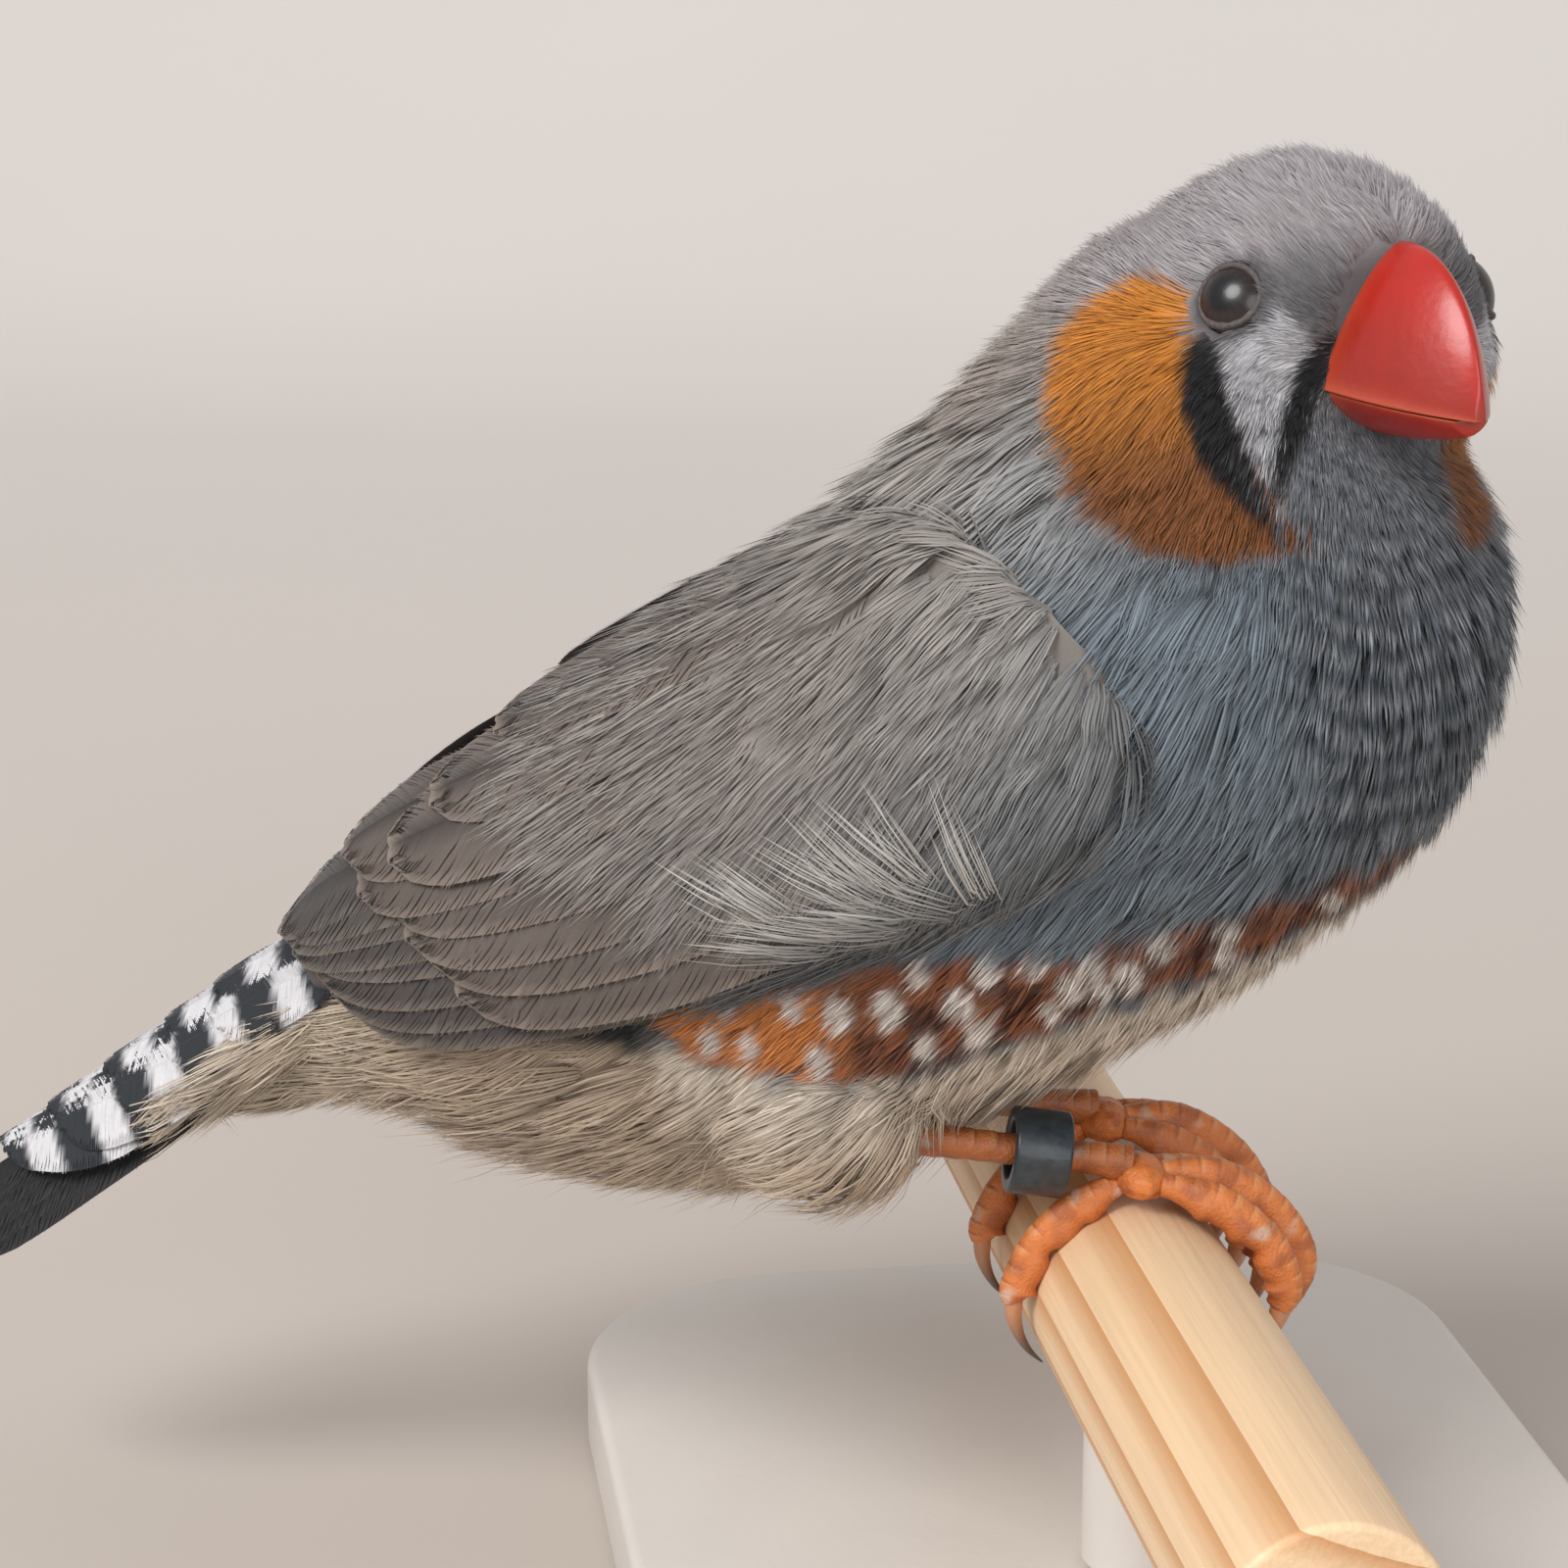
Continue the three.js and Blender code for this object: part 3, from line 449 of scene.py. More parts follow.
CROWN = paint(158, 151, 152)
NAPE = paint(148, 140, 138)
BLUE_GREY = paint(112, 121, 128)
SIDE_GREY = paint(150, 148, 146)
MANTLE = paint(146, 135, 127)
CHEEK_BRIGHT = paint(193, 122, 48)
CHEEK_DEEP = paint(128, 80, 46)
BLACK = paint(33, 33, 35)
FACE_WHITE = paint(196, 194, 197)
FACE_GREY = paint(106, 104, 106)
THROAT_DARK = paint(73, 79, 86)
THROAT_PALE = paint(126, 129, 133)
CHESTNUT = paint(138, 86, 60)
CHESTNUT_DARK = paint(92, 61, 49)
FLANK_ORANGE = paint(200, 126, 70)
SPOT_WHITE = paint(214, 205, 196)
CREAM = paint(182, 163, 142)
BELLY_WHITE = paint(208, 196, 180)
UNDERTAIL = paint(186, 170, 150)
SHADE_UNDER_WING = paint(46, 49, 50)
RUMP_WHITE = paint(206, 200, 197)
EYE_SHADE = FACE_GREY * 0.75


# %% Lines and outlines with soft edges
def to_line(p, line):
    """Distance to a chain of points, and how far along it the nearest point lies, from 0 to 1."""
    line = np.asarray(line, float)
    best = np.full(p.shape[:-1], 1e9)
    where = np.zeros(p.shape[:-1])
    for k in range(len(line) - 1):
        step = line[k + 1] - line[k]
        t = np.clip(((p - line[k]) @ step) / (step @ step), 0, 1)
        away = length_of(p - line[k] - t[..., None] * step)
        nearer = away < best
        best = np.where(nearer, away, best)
        where = np.where(nearer, (k + t) / (len(line) - 1), where)
    return best, where


def inside(x, z, outline, soft):
    """1 inside a closed outline, 0 outside, fading over its edge."""
    p = np.stack([x, z], -1)
    loop = np.vstack([outline, outline[:1]])
    away, _ = to_line(p, loop)
    within = np.zeros(x.shape, bool)
    for (x0, z0), (x1, z1) in zip(loop[:-1], loop[1:]):
        crosses = (z0 > z) != (z1 > z)
        edge = x0 + (x1 - x0) * (z - z0) / np.where(z1 == z0, 1, z1 - z0)
        within ^= crosses & (x < edge)
    return fade(np.where(within, away, -away), -soft, soft)


# %% The head's markings, in the head's own frame
CHEEK_OUTLINE = np.array([
    (1.3, 2.6), (-0.6, 3.3), (-2.0, 2.4), (-2.9, 0.4), (-2.0, -2.2), (0.2, -4.8), (2.4, -7.1), (5.2, -8.8),
    (7.2, -9.3), (8.3, -8.6), (7.4, -6.2), (5.9, -3.6), (4.3, -1.0), (2.9, 0.6),
])
CRESCENT = np.array([
    (2.2, 6.6, 1.3), (4.0, 7.9, -0.5), (5.1, 8.2, -2.4), (6.3, 7.9, -4.5), (7.5, 7.0, -6.2), (8.2, 6.1, -7.8),
])
PALE_BAND = np.array([
    (5.6, 6.6, 1.3), (6.3, 5.9, 0.0), (6.4, 6.2, -2.6), (7.4, 6.2, -5.0), (7.9, 6.0, -6.6),
])
GAPE_LINE = np.array([
    (7.9, 3.4, 0.2), (7.3, 4.2, -1.2), (7.1, 4.6, -2.8), (7.4, 5.3, -4.4), (7.8, 5.9, -6.1),
])
crescent_half = keyed((0, 0.45), (0.25, 1.0), (0.6, 1.1), (1, 0.5))
pale_half = keyed((0, 1.5), (0.3, 1.9), (0.6, 1.4), (0.85, 1.0), (1, 0.5))
gape_half = keyed((0, 0.8), (0.4, 0.75), (1, 0.4))
SOFT_EDGE = {"cheek": 0.25, "white": 0.35, "black": 0.22}
THROAT_FROM = np.array([8.4, 0.0, -2.0])
BAR_PITCH = 1.05
HEAD_REACH = np.array([11.5, 11.0, 10.5])


def cheek_share(h):
    side = fade(np.abs(h[..., 1]), 2.5, 4.5)
    return inside(h[..., 0], h[..., 2], CHEEK_OUTLINE, SOFT_EDGE["cheek"]) * side


def bars(p, h):
    """Fine wavy bars that ring the bill's root, from dark (0) to pale (1), paler and broader further down."""
    away = length_of(h - THROAT_FROM)
    pitch = BAR_PITCH + 0.02 * np.clip(away - 6, 0, 20)
    wave = np.sin(2 * math.pi * (away + 0.35 * wobble(p, 6.5) + 0.16 * wobble(p, 2.4, 1.0)) / pitch)
    near_bill = near(away, 11, 6)
    return 0.45 * near_bill + (1 - 0.65 * near_bill) * fade(wave, -0.5, 0.6)


def head_share(h):
    """1 on the head and its cheeks, fading to 0 down the neck."""
    return np.maximum(on_the_head(h), cheek_share(h))


def on_the_head(h):
    return near(length_of(h / HEAD_REACH), 1.3, 0.95)


def head_colour(p, h):
    x, y, z = h[..., 0], np.abs(h[..., 1]), h[..., 2]
    one_side = np.stack([x, y, z], -1)
    colour = mix(CROWN, NAPE, fade(-x, 0, 6))
    colour = mix(colour, FACE_GREY, fade(x, 3.2, 6.4) * fade(-z, -6.4, -3.0))
    throat = fade(-z, 2.0, 4.6) * fade(x - 0.12 * (y - 4) ** 2, 2.4, 4.4)
    colour = mix(colour, mix(THROAT_DARK, THROAT_PALE, bars(p, h)), throat)
    away, where = to_line(one_side, PALE_BAND)
    half, soft = pale_half(where), SOFT_EDGE["white"]
    mottle = 0.72 + 0.28 * wobble(p, 1.3, 2.0)
    colour = mix(colour, FACE_WHITE, near(away, half + soft, half - soft) * mottle)
    cheek = mix(CHEEK_DEEP, CHEEK_BRIGHT, fade(z - 0.35 * x, -8.5, -1.0))
    colour = mix(colour, cheek, cheek_share(h))
    for line, half_along in ((CRESCENT, crescent_half), (GAPE_LINE, gape_half)):
        away, where = to_line(one_side, line)
        half, soft = half_along(where), SOFT_EDGE["black"]
        colour = mix(colour, BLACK, near(away, half + soft, half - soft))
    for *_, on_skin in EYES.values():
        colour = mix(colour, EYE_SHADE, near(length_of(h - on_skin), 2.7, 1.7))
    return colour


# %% The body's markings, and painted shade under the wing
chestnut_top = keyed(
    (-21, 16.5), (-16, 19), (-9, 19), (-4.5, 19), (0, 19.2), (4.5, 20.3), (9.7, 21.8), (14, 22.8), (18, 25),
)
chestnut_low = keyed(
    (-21, 15.6), (-17.5, 13.4), (-14, 12.8), (-9.4, 12.8), (-4.8, 14.1), (0.8, 16.2), (6.1, 17.9),
    (11.4, 20.2), (14, 22.2), (18, 25.4),
)
SPOTS = {"rows": (0.2, 0.54, 0.86), "from": -17.5, "to": 12.5, "apart": 2.6, "shift": 1.3, "missing": 0.22}
MIDDLE_ROW = 1
ROOM_FOR_THREE = 3.0
spots = []
for row, share in enumerate(SPOTS["rows"]):
    for x in np.arange(SPOTS["from"] + SPOTS["shift"] * (row % 2), SPOTS["to"], SPOTS["apart"]):
        room = chestnut_top(x) - chestnut_low(x)
        if room < ROOM_FOR_THREE and row == MIDDLE_ROW:
            continue
        if chance.random() < SPOTS["missing"]:
            continue
        stray_x, stray_z = chance.uniform(-0.5, 0.5), chance.uniform(-0.35, 0.35)
        z = chestnut_low(x) + share * room
        spots.append((x + stray_x, z + stray_z, chance.uniform(0.55, 0.85)))


def spot_share(x, z):
    share = np.zeros(x.shape)
    for at_x, at_z, size in spots:
        away = np.hypot((x - at_x) / (0.8 * size), (z - at_z + 0.25 * (x - at_x)) / (1.15 * size))
        share = np.maximum(share, near(away, 1.3, 0.75))
    return share


def body_colour(p, h):
    x, y, z = p[..., 0], np.abs(p[..., 1]), p[..., 2]
    colour = mix(BLUE_GREY, SIDE_GREY, fade(z - 0.5 * x, 33, 42))
    colour = mix(colour, MANTLE, fade(z - 0.9 * x, 41, 50) * fade(-y, -10, -5))
    chest = fade(x - 0.12 * (30 - z), 7.5, 11.0) * fade(z, 21.5, 25.0)
    colour = mix(colour, mix(THROAT_DARK, THROAT_PALE, bars(p, h)), chest)
    low, top = chestnut_low(x), chestnut_top(x)
    ragged = 0.5 * wobble(p, 2.6, 0.5)
    in_height = fade(z - low + ragged, -0.5, 0.5) * fade(top - z + ragged, -0.7, 0.7)
    flank = in_height * fade(-x, -17, -12.5)
    brown = mix(CHESTNUT, CHESTNUT_DARK, fade(wobble(p, 3.3, 3.0), -0.2, 0.5))
    brown = mix(brown, FLANK_ORANGE, fade(-x + 0.4 * wobble(p, 3.0), 9.5, 13.0))
    brown = mix(brown, SPOT_WHITE, spot_share(x, z))
    colour = mix(colour, brown, flank)
    belly = fade(low - z + 0.6 * wobble(p, 3.0, 1.7), -0.2, 0.9)
    pale = mix(BELLY_WHITE, CREAM, fade(-z, -14, -6))
    colour = mix(colour, pale, belly)
    behind = fade(-x, 18.5, 21.0)
    under = mix(UNDERTAIL, CREAM, fade(x, -40, -30))
    colour = mix(colour, under, behind * fade(14.0 - z + 0.5 * wobble(p, 2.5), -0.6, 0.6))
    # Painted shade: dark grey on the sides of the rump, where the folded wing lies over them.
    dark = behind * fade(z, 12.4, 14.0) * fade(y, 5, 8) * fade(x, -37, -33)
    colour = mix(colour, SHADE_UNDER_WING, dark)
    rump = fade(-x, 33, 36) * fade(z, 12.5, 14.5)
    return mix(colour, RUMP_WHITE, rump)


def coat_colour(p):
    h = to_head(p)
    return mix(body_colour(p, h), head_colour(p, h), head_share(h))


# %% [markdown]
# One skin replaces the torso, neck and head, so no seam shows between them. The two lofts are joined by a
# voxel remesh, which melts overlapping shells into one, and a few rounds of smoothing round off the crease
# where the head meets the shoulders. A Boolean union would keep that crease sharp.

# %% The skin, in millimetres, before it takes its place
VOXEL = 0.6
THIGH = {"at": (-14.4, 9.9), "size": (4.2, 5.4, 4.3), "coat": 1.3, "outward": 0.6}
FEET = {"right": 6.0, "left": -1.8}


def perch_spot(d, a, z):
    """A place by its distance along the perch, across it towards the bird's front, and up from its axis."""
    d, a, z = np.broadcast_arrays(*(np.asarray(v, float) for v in (d, a, z)))
    return d[..., None] * ALONG + a[..., None] * ACROSS + z[..., None] * np.array([0, 0, 1.0])


def loft_shell(at, rows, columns):
    """A closed shell over a surface: rings of points and a fan at each end."""
    s, angle = grid(np.linspace(0, 1, rows), np.arange(columns) * 360 / columns)
    to_bird = from_head if at is head_at else np.asarray
    points = to_bird(at(s, angle, -coat_depth(to_bird(at(s, angle)))))
    faces = [*map(tuple, grid_faces(rows, columns, closed=True))]
    ends = [tuple(range(columns))[::-1], tuple(range((rows - 1) * columns, rows * columns))]
    return points.reshape(-1, 3), faces + ends


def thigh_shell(side, foot, rows=17, columns=24):
    u, v = grid(np.linspace(0, math.pi, rows), circle(columns))
    out = np.stack([np.sin(u) * np.cos(v), np.sin(u) * np.sin(v), np.cos(u)], -1)
    along, across, up = np.moveaxis(out * (np.array(THIGH["size"]) - THIGH["coat"]), -1, 0)
    a, z = THIGH["at"]
    points = perch_spot(foot - side * THIGH["outward"] + along, a + across, z + up)
    return points.reshape(-1, 3), [*map(tuple, grid_faces(rows, columns, closed=True))]


shells = [loft_shell(trunk_at, 90, 96), loft_shell(head_at, 60, 72)]
shells += [thigh_shell(side, FEET[name]) for name, side in SIDES.items()]
raw = bpy.data.meshes.new("raw skin")
raw_points, raw_faces = [], []
for points, faces in shells:
    raw_faces += [tuple(k + len(raw_points) for k in face) for face in faces]
    raw_points += [tuple(p) for p in points]
raw.from_pydata(raw_points, [], raw_faces)
melted = bpy.data.objects.new("raw skin", raw)
bpy.context.collection.objects.link(melted)
remesh = melted.modifiers.new("melt", "REMESH")
remesh.mode = "VOXEL"
remesh.voxel_size = VOXEL
smooth = melted.modifiers.new("smooth", "SMOOTH")
smooth.factor = 0.5
smooth.iterations = 14
melted_mesh = melted.evaluated_get(bpy.context.evaluated_depsgraph_get()).to_mesh()
skin_points = np.array([v.co[:] for v in melted_mesh.vertices])
melted_mesh.calc_loop_triangles()
skin_faces = np.array([t.vertices[:] for t in melted_mesh.loop_triangles])
bpy.data.objects.remove(melted)
print("skin", len(skin_points), "points", len(skin_faces), "triangles")

# %% [markdown]
# The folded wing hugs the trunk, so its places are the trunk's own: a share along and an angle round, with
# a rise above it. Its two edges are curves of the angle, from the bend of the wing to the tips over the
# tail.

# %% The wing's surface
WING = {"front": 0.675, "back": 0.12, "off": 0.5, "skin": 0.5, "sunk": 0.5, "inner": -0.6, "edge": -0.3}
wing_top = keyed(
    (0.08, 12), (0.13, 8), (0.2, 6), (0.3, 6), (0.41, 9), (0.5, 13), (0.6, 24), (0.64, 38), (0.66, 52),
    (0.675, 70),
)
wing_low = keyed(
    (0.08, 40), (0.13, 58), (0.18, 68), (0.26, 75), (0.33, 79), (0.41, 84), (0.5, 93), (0.6, 101), (0.64, 99),
    (0.66, 92), (0.675, 80),
)
wing_lift = keyed((0.08, 0.6), (0.15, 1.5), (0.25, 1.9), (0.35, 1.5), (0.5, 1.0), (0.62, 0.5), (0.675, 0.1))


def core_rise(s, angle):
    """How far the core's outside lies above the trunk: most along the wing's middle."""
    top, low = wing_top(s), wing_low(s)
    f = np.clip((angle - top) / np.maximum(low - top, 1), 0, 1)
    return WING["off"] + WING["skin"] + wing_lift(s) * np.sin(math.pi * (0.12 + 0.76 * f)) ** 0.6


def wing_shell(rows=70, across=36):
    """The wing's core: a sheet under its feathers and an inner one against the body, as one closed shell."""
    along = np.sin(math.pi * np.linspace(0, 1, rows) / 2) ** 0.9
    s, f = grid(WING["back"] + (WING["front"] - WING["back"]) * along, np.linspace(0, 1, across))
    angle = wing_top(s) + (wing_low(s) - wing_top(s)) * f
    middle = 1 - np.abs(2 * f - 1) ** 6
    rise = (core_rise(s, angle) - WING["sunk"]) * middle + WING["edge"] * (1 - middle)
    rings = np.concatenate([trunk_at(s, angle, WING["inner"]), trunk_at(s, angle, rise)[:, ::-1]], axis=1)
    return rings.reshape(-1, 3), grid_faces(rows, 2 * across, closed=True), s, angle


def wing_map(s, angle):
    return np.stack([0.02 + 0.9 * (s - 0.1) / 0.6, 0.02 + 0.9 * angle / 110], -1)


def mirrored(points, faces):
    return points * [1, -1, 1], faces[:, ::-1]


wing_points, wing_faces, wing_s, wing_angle = wing_shell()
print("wing shell", len(wing_points), "points, length mm", np.ptp(wing_points[:, 0]).round(1))


# %% [markdown]
# Feathers are laid with two questions: what is the nearest place on the surface, and which way is out. A
# search tree answers both for any point, so the middle line of a feather can follow the body's curve.

# %% A surface to lay feathers on
class Surface:
    def __init__(self, points, faces):
        self.points = np.asarray(points, float)
        self.faces = np.asarray(faces)
        a, b, c = (self.points[self.faces[:, k]] for k in range(3))
        cross = np.cross(b - a, c - a)
        self.area = length_of(cross) / 2
        self.normals = np.zeros_like(self.points)
        for k in range(3):
            np.add.at(self.normals, self.faces[:, k], cross)
        self.normals = unit(self.normals)
        self.tree = BVHTree.FromPolygons(self.points.tolist(), self.faces.tolist())

    def outward(self, which):
        return unit(self.normals[self.faces[which]].mean(axis=1))

    def nearest(self, places):
        hits = [self.tree.find_nearest(Vector(p)) for p in places.reshape(-1, 3)]
        spots = np.array([h[0][:] for h in hits])
        which = np.array([h[2] for h in hits])
        return spots.reshape(places.shape), self.outward(which).reshape(places.shape)

    def scatter(self, wanted):
        """Random places, with wanted of them to the square millimetre of each triangle."""
        count = chance.poisson(wanted * self.area)
        which = np.repeat(np.arange(len(self.faces)), count)
        a, b = chance.random(len(which)), chance.random(len(which))
        over = a + b > 1
        a[over], b[over] = 1 - a[over], 1 - b[over]
        p, q, r = (self.points[self.faces[which, k]] for k in range(3))
        return p + (q - p) * a[:, None] + (r - p) * b[:, None], self.outward(which)


def triangles(faces):
    return np.vstack([faces[:, [0, 1, 2]], faces[:, [0, 2, 3]]])


def together(*parts):
    points, faces, at = [], [], 0
    for p, f in parts:
        points.append(p)
        faces.append(f + at)
        at += len(p)
    return np.vstack(points), np.vstack(faces)


skin = Surface(skin_points, skin_faces)
corners = wing_points[wing_faces]
wing_volume = np.einsum("ij,ij->i", corners[:, 0], np.cross(corners[:, 1], corners[:, 2])).sum()
if wing_volume < 0:
    wing_faces = wing_faces[:, ::-1]
left_points, left_faces = mirrored(wing_points, wing_faces)
wing_outer = {
    "right": Surface(wing_points, triangles(wing_faces)),
    "left": Surface(left_points, triangles(left_faces)),
}
with_wings = [(surface.points, surface.faces) for surface in (skin, *wing_outer.values())]
dressed = Surface(*together(*with_wings))
print("skin area in square mm", skin.area.sum().round())

# %% Where each place lies on the trunk
SAMPLES_SUNK = -1.2
SMALL = 0.004
sample_s, sample_angle = grid(np.linspace(0, 1, 181), np.arange(0, 360, 3.0))
samples = trunk_at(sample_s, sample_angle, SAMPLES_SUNK).reshape(-1, 3)
sample_lie = unit(trunk_at(sample_s - SMALL, sample_angle) - trunk_at(sample_s + SMALL, sample_angle))
sample_lie = sample_lie.reshape(-1, 3)
trunk_tree = KDTree(len(samples))
for k, spot in enumerate(samples):
    trunk_tree.insert(spot, k)
trunk_tree.balance()


def on_trunk(points):
    """Each point's share along the trunk, its angle round it, and the way from the head to the tail there."""
    which = np.array([trunk_tree.find(p)[1] for p in points])
    return sample_s.ravel()[which], sample_angle.ravel()[which], sample_lie[which]


# %% The lie of the coat
def flattened(lie, normals):
    """Directions laid into the surface."""
    return unit(lie - normals * np.sum(lie * normals, axis=1, keepdims=True))


def lie_of(p, normals):
    """Which way the feathers point: back from the bill, down the cheeks, then along the body to the tail."""
    s, angle, body = on_trunk(p)
    h = to_head(p)
    down = fade(-h[:, 2], -3.5, 1.5) * fade(h[:, 0], -8, -1)
    head_lie = np.stack([-1 + 0.55 * down, 0.0 * down, 0.12 - 1.05 * down], -1)
    lores = fade(h[:, 0], 5.2, 7.2) * fade(h[:, 2], -2.5, 1.0)
    head_lie[:, 2] += 0.9 * lores
    head_lie[:, 1] += 0.8 * lores * np.sign(h[:, 1])
    share = head_share(h)[:, None]
    return flattened(body * (1 - share) + unit(head_lie) @ HEAD_TURN.T * share, normals), s, angle


# %% The skin's unwrap
HEAD_ON_MAP = {"from": 0.64, "high": 0.34, "back": 10.2, "long": 18.4}
BODY_ON_MAP = {"from": 0.01, "high": 0.6}
MAP_WIDE = 0.95


def skin_map(p, s, angle):
    """The trunk unrolled along the lower part of the map and the head along the upper."""
    h = to_head(p)
    head_angle = np.degrees(np.arctan2(-h[..., 1], h[..., 2])) % 360
    on_head = on_the_head(h) > 0.5
    u = np.where(on_head, head_angle, angle) / 360
    forward = np.clip((h[..., 0] + HEAD_ON_MAP["back"]) / HEAD_ON_MAP["long"], 0, 1)
    v = np.where(on_head, HEAD_ON_MAP["from"] + HEAD_ON_MAP["high"] * forward,
                 BODY_ON_MAP["from"] + BODY_ON_MAP["high"] * s)
    return np.stack([0.01 + MAP_WIDE * u, v], -1)


# %% [markdown]
# The skin itself hardly shows, but it fills the gaps between feathers, so it carries the same markings,
# painted darker as the shade in those gaps. It replaces the torso, the neck and the head of the imported
# model, and the cream point under the tail.

# %% The skin takes its place
SKIN_SHADE = 0.68
_, skin_s, skin_angle = lie_of(skin.points, skin.normals)
# Painted shade: the coat's colours, darker, for the shaded gaps between the feathers.
skin_colour = coat_colour(skin.points + skin.normals) * SKIN_SHADE
skin_shape = skin.points, skin.faces, skin_colour, skin_map(skin.points, skin_s, skin_angle)
skin_piece = add_piece("skin", skin_shape, BODY_LOOK, "torso", "neck", "head", "undertail_coverts")
skin_uv = skin_piece.data.uv_layers[MAP_NAME].data
flat = np.zeros(len(skin_uv) * 2, np.float32)
skin_uv.foreach_get("uv", flat)
by_face = flat.reshape(-1, 3, 2)
over_seam = np.ptp(by_face[:, :, 0], axis=1) > 0.5
by_face[over_seam, :, 0] += np.where(by_face[over_seam, :, 0] < 0.5, MAP_WIDE, 0)
skin_uv.foreach_set("uv", np.clip(flat, 0, 1))

# %% [markdown]
# A soft feather is a tuft of barbs: thin strips that start together, run along one middle line and spread a
# little. The middle line bends with the body, its root sinks in the skin and its tip rises to the depth of
# the coat. All tufts of a piece are worked out at once with arrays, which takes seconds where single
# objects would take hours.

# %% Tufts of barbs
PATCH = 0.003
BARB_AT = np.array([0.0, 0.38, 0.72, 1.0])
BARB_WIDE = np.array([0.8, 1.0, 0.75])
BARB_CORNERS = [0, 0, 1, 1, 2, 2, 3]
BARB_FACES = np.array([[0, 1, 3], [0, 3, 2], [2, 3, 5], [2, 5, 4], [4, 5, 6]])
RAGGED = 0.16
ROOT_SUNK = 0.15


def bend_through(t, ends):
    """A smooth line through three points."""
    return weighed(ends, (1 - t) * (1 - 2 * t), 4 * t * (1 - t), t * (2 * t - 1))


def way_along(t, ends):
    """The direction of that line."""
    return unit(weighed(ends, 4 * t - 3, 4 - 8 * t, 4 * t - 1))


def weighed(ends, *weights):
    return sum(w[..., None] * ends[:, None, None, k] for k, w in enumerate(weights))


def barb_strips(count):
    """Triangles of one barb's seven points, for so many barbs."""
    return (np.arange(count)[:, None, None] * len(BARB_CORNERS) + BARB_FACES).reshape(-1, 3)


def lay_tufts(
    name, on, bed, aspect, rise, barbs, look,
    colour=coat_colour, thick=0.085, fluff=0.12, droop=0.0, root_down_and_shade=0.7, split=1,
):
    """Tufts on a bed of roots, normals, lies, lengths and places on the map. aspect is a tuft's width by its
    length, and rise is how far its tip stands off the surface."""
    roots, normals, lie, length, uv = bed
    width = length * aspect
    n = len(roots)
    rise, droop = (np.broadcast_to(v, (n,))[:, None, None] for v in (rise, droop))
    half_long = length[:, None] * 0.5
    middle, middle_out = on.nearest(roots + lie * half_long)
    tip, tip_out = on.nearest(middle + unit(middle - roots) * half_long)
    tip = middle + unit(tip - middle) * half_long
    line = np.stack([roots, middle, tip], 1)
    across = np.linspace(-1, 1, barbs)[None, :] + chance.normal(0, 0.35 / barbs, (n, barbs))
    start = chance.uniform(0, RAGGED, (n, barbs))
    end = 1 - 0.2 * across**2 - chance.uniform(0, RAGGED, (n, barbs))
    t = start[..., None] + (end - start)[..., None] * BARB_AT
    out = unit(bend_through(t, np.stack([normals, middle_out, tip_out], 1)))
    side = unit(np.cross(out, way_along(t, line)))
    on_line = np.clip(t, 0, 1)
    fan = 0.4 + 0.6 * np.sin(on_line * 2.3)
    sideways = across[..., None] * fan * width[:, None, None] / 2
    lifted = -ROOT_SUNK + (rise + ROOT_SUNK) * on_line**0.8
    lifted = lifted + chance.normal(0, fluff, (n, barbs))[..., None] * t * rise
    place = bend_through(t, line) + side * sideways[..., None] + out * lifted[..., None]
    place = place + np.array([0, 0, -1.0]) * (droop * on_line**2)[..., None]
    twist = chance.normal(0, 0.35, (n, barbs))[..., None, None]
    flat = side * np.cos(twist) + out * np.sin(twist)
    wide = thick * BARB_WIDE * chance.uniform(0.75, 1.3, (n, barbs))[..., None]
    edge = flat[:, :, :3] * wide[..., None] / 2
    both = np.stack([place[:, :, :3] - edge, place[:, :, :3] + edge], 3)
    points = np.concatenate([both.reshape(n, barbs, 6, 3), place[:, :, 3:]], 2)
    asked = place + (place[:, :, 3:] - place) * 0.3 + chance.normal(0, 0.12, (n, barbs, 1, 3))
    # Each barb is darker towards its root: partly its grey down, partly painted shade under the tufts that
    # lie over it. Each barb and each tuft is also a little lighter or darker at random.
    light = (root_down_and_shade + (1 - root_down_and_shade) * BARB_AT**0.7) * (1 + chance.normal(0, 0.1, (n, barbs, 1)))
    light = light * (1 + chance.normal(0, 0.05, (n, 1, 1)))
    shades = (colour(asked) * np.clip(light, 0.2, 1.6)[..., None])[:, :, BARB_CORNERS]
    patch_v = (t[:, :, BARB_CORNERS] - 0.5) * PATCH
    patch_u = np.broadcast_to((across / 2)[..., None], patch_v.shape) * PATCH
    patch = uv[:, None, None, :] + np.stack([patch_u, patch_v], -1)
    for k, group in enumerate(np.array_split(chance.permutation(n), split)):
        label = name if split == 1 else f"{name}_{k + 1}"
        shape = points[group], barb_strips(len(group) * barbs), shades[group], patch[group]
        add_piece(label, shape, look)

# %% [markdown]
# Roots are scattered over the skin. Feathers are small and dense on the face and grow towards the breast
# and the belly, so length and width are functions of the place too, and the number to the square millimetre
# follows from how many layers deep the coat should lie. Nothing is spent under the folded wings.

# %% Feather sizes over the body
def feather_length(p):
    h = to_head(p)
    x, z = p[..., 0], p[..., 2]
    head = 1.25 + 1.8 * fade(length_of(h - [8.4, 0, 0]), 3.5, 13)
    body = 4.6 + 1.2 * fade(-z, -20, -9)
    body = body + (3.3 - body) * fade(x - 0.12 * (30 - z), 6.5, 9.5)
    on_flank = fade(z - chestnut_low(x), -1.5, 0) * fade(chestnut_top(x) - z, -2.5, -1)
    body = body + (2.7 - body) * on_flank * fade(-x, -17, -12)
    return body + (head - body) * head_share(h)


def under_wing(s, angle, margin=5.0):
    round_body = folded(angle)
    within = (round_body > wing_top(s) + margin) & (round_body < wing_low(s) - margin)
    return within & (s > WING["back"] + 0.03) & (s < WING["front"] - 0.05)


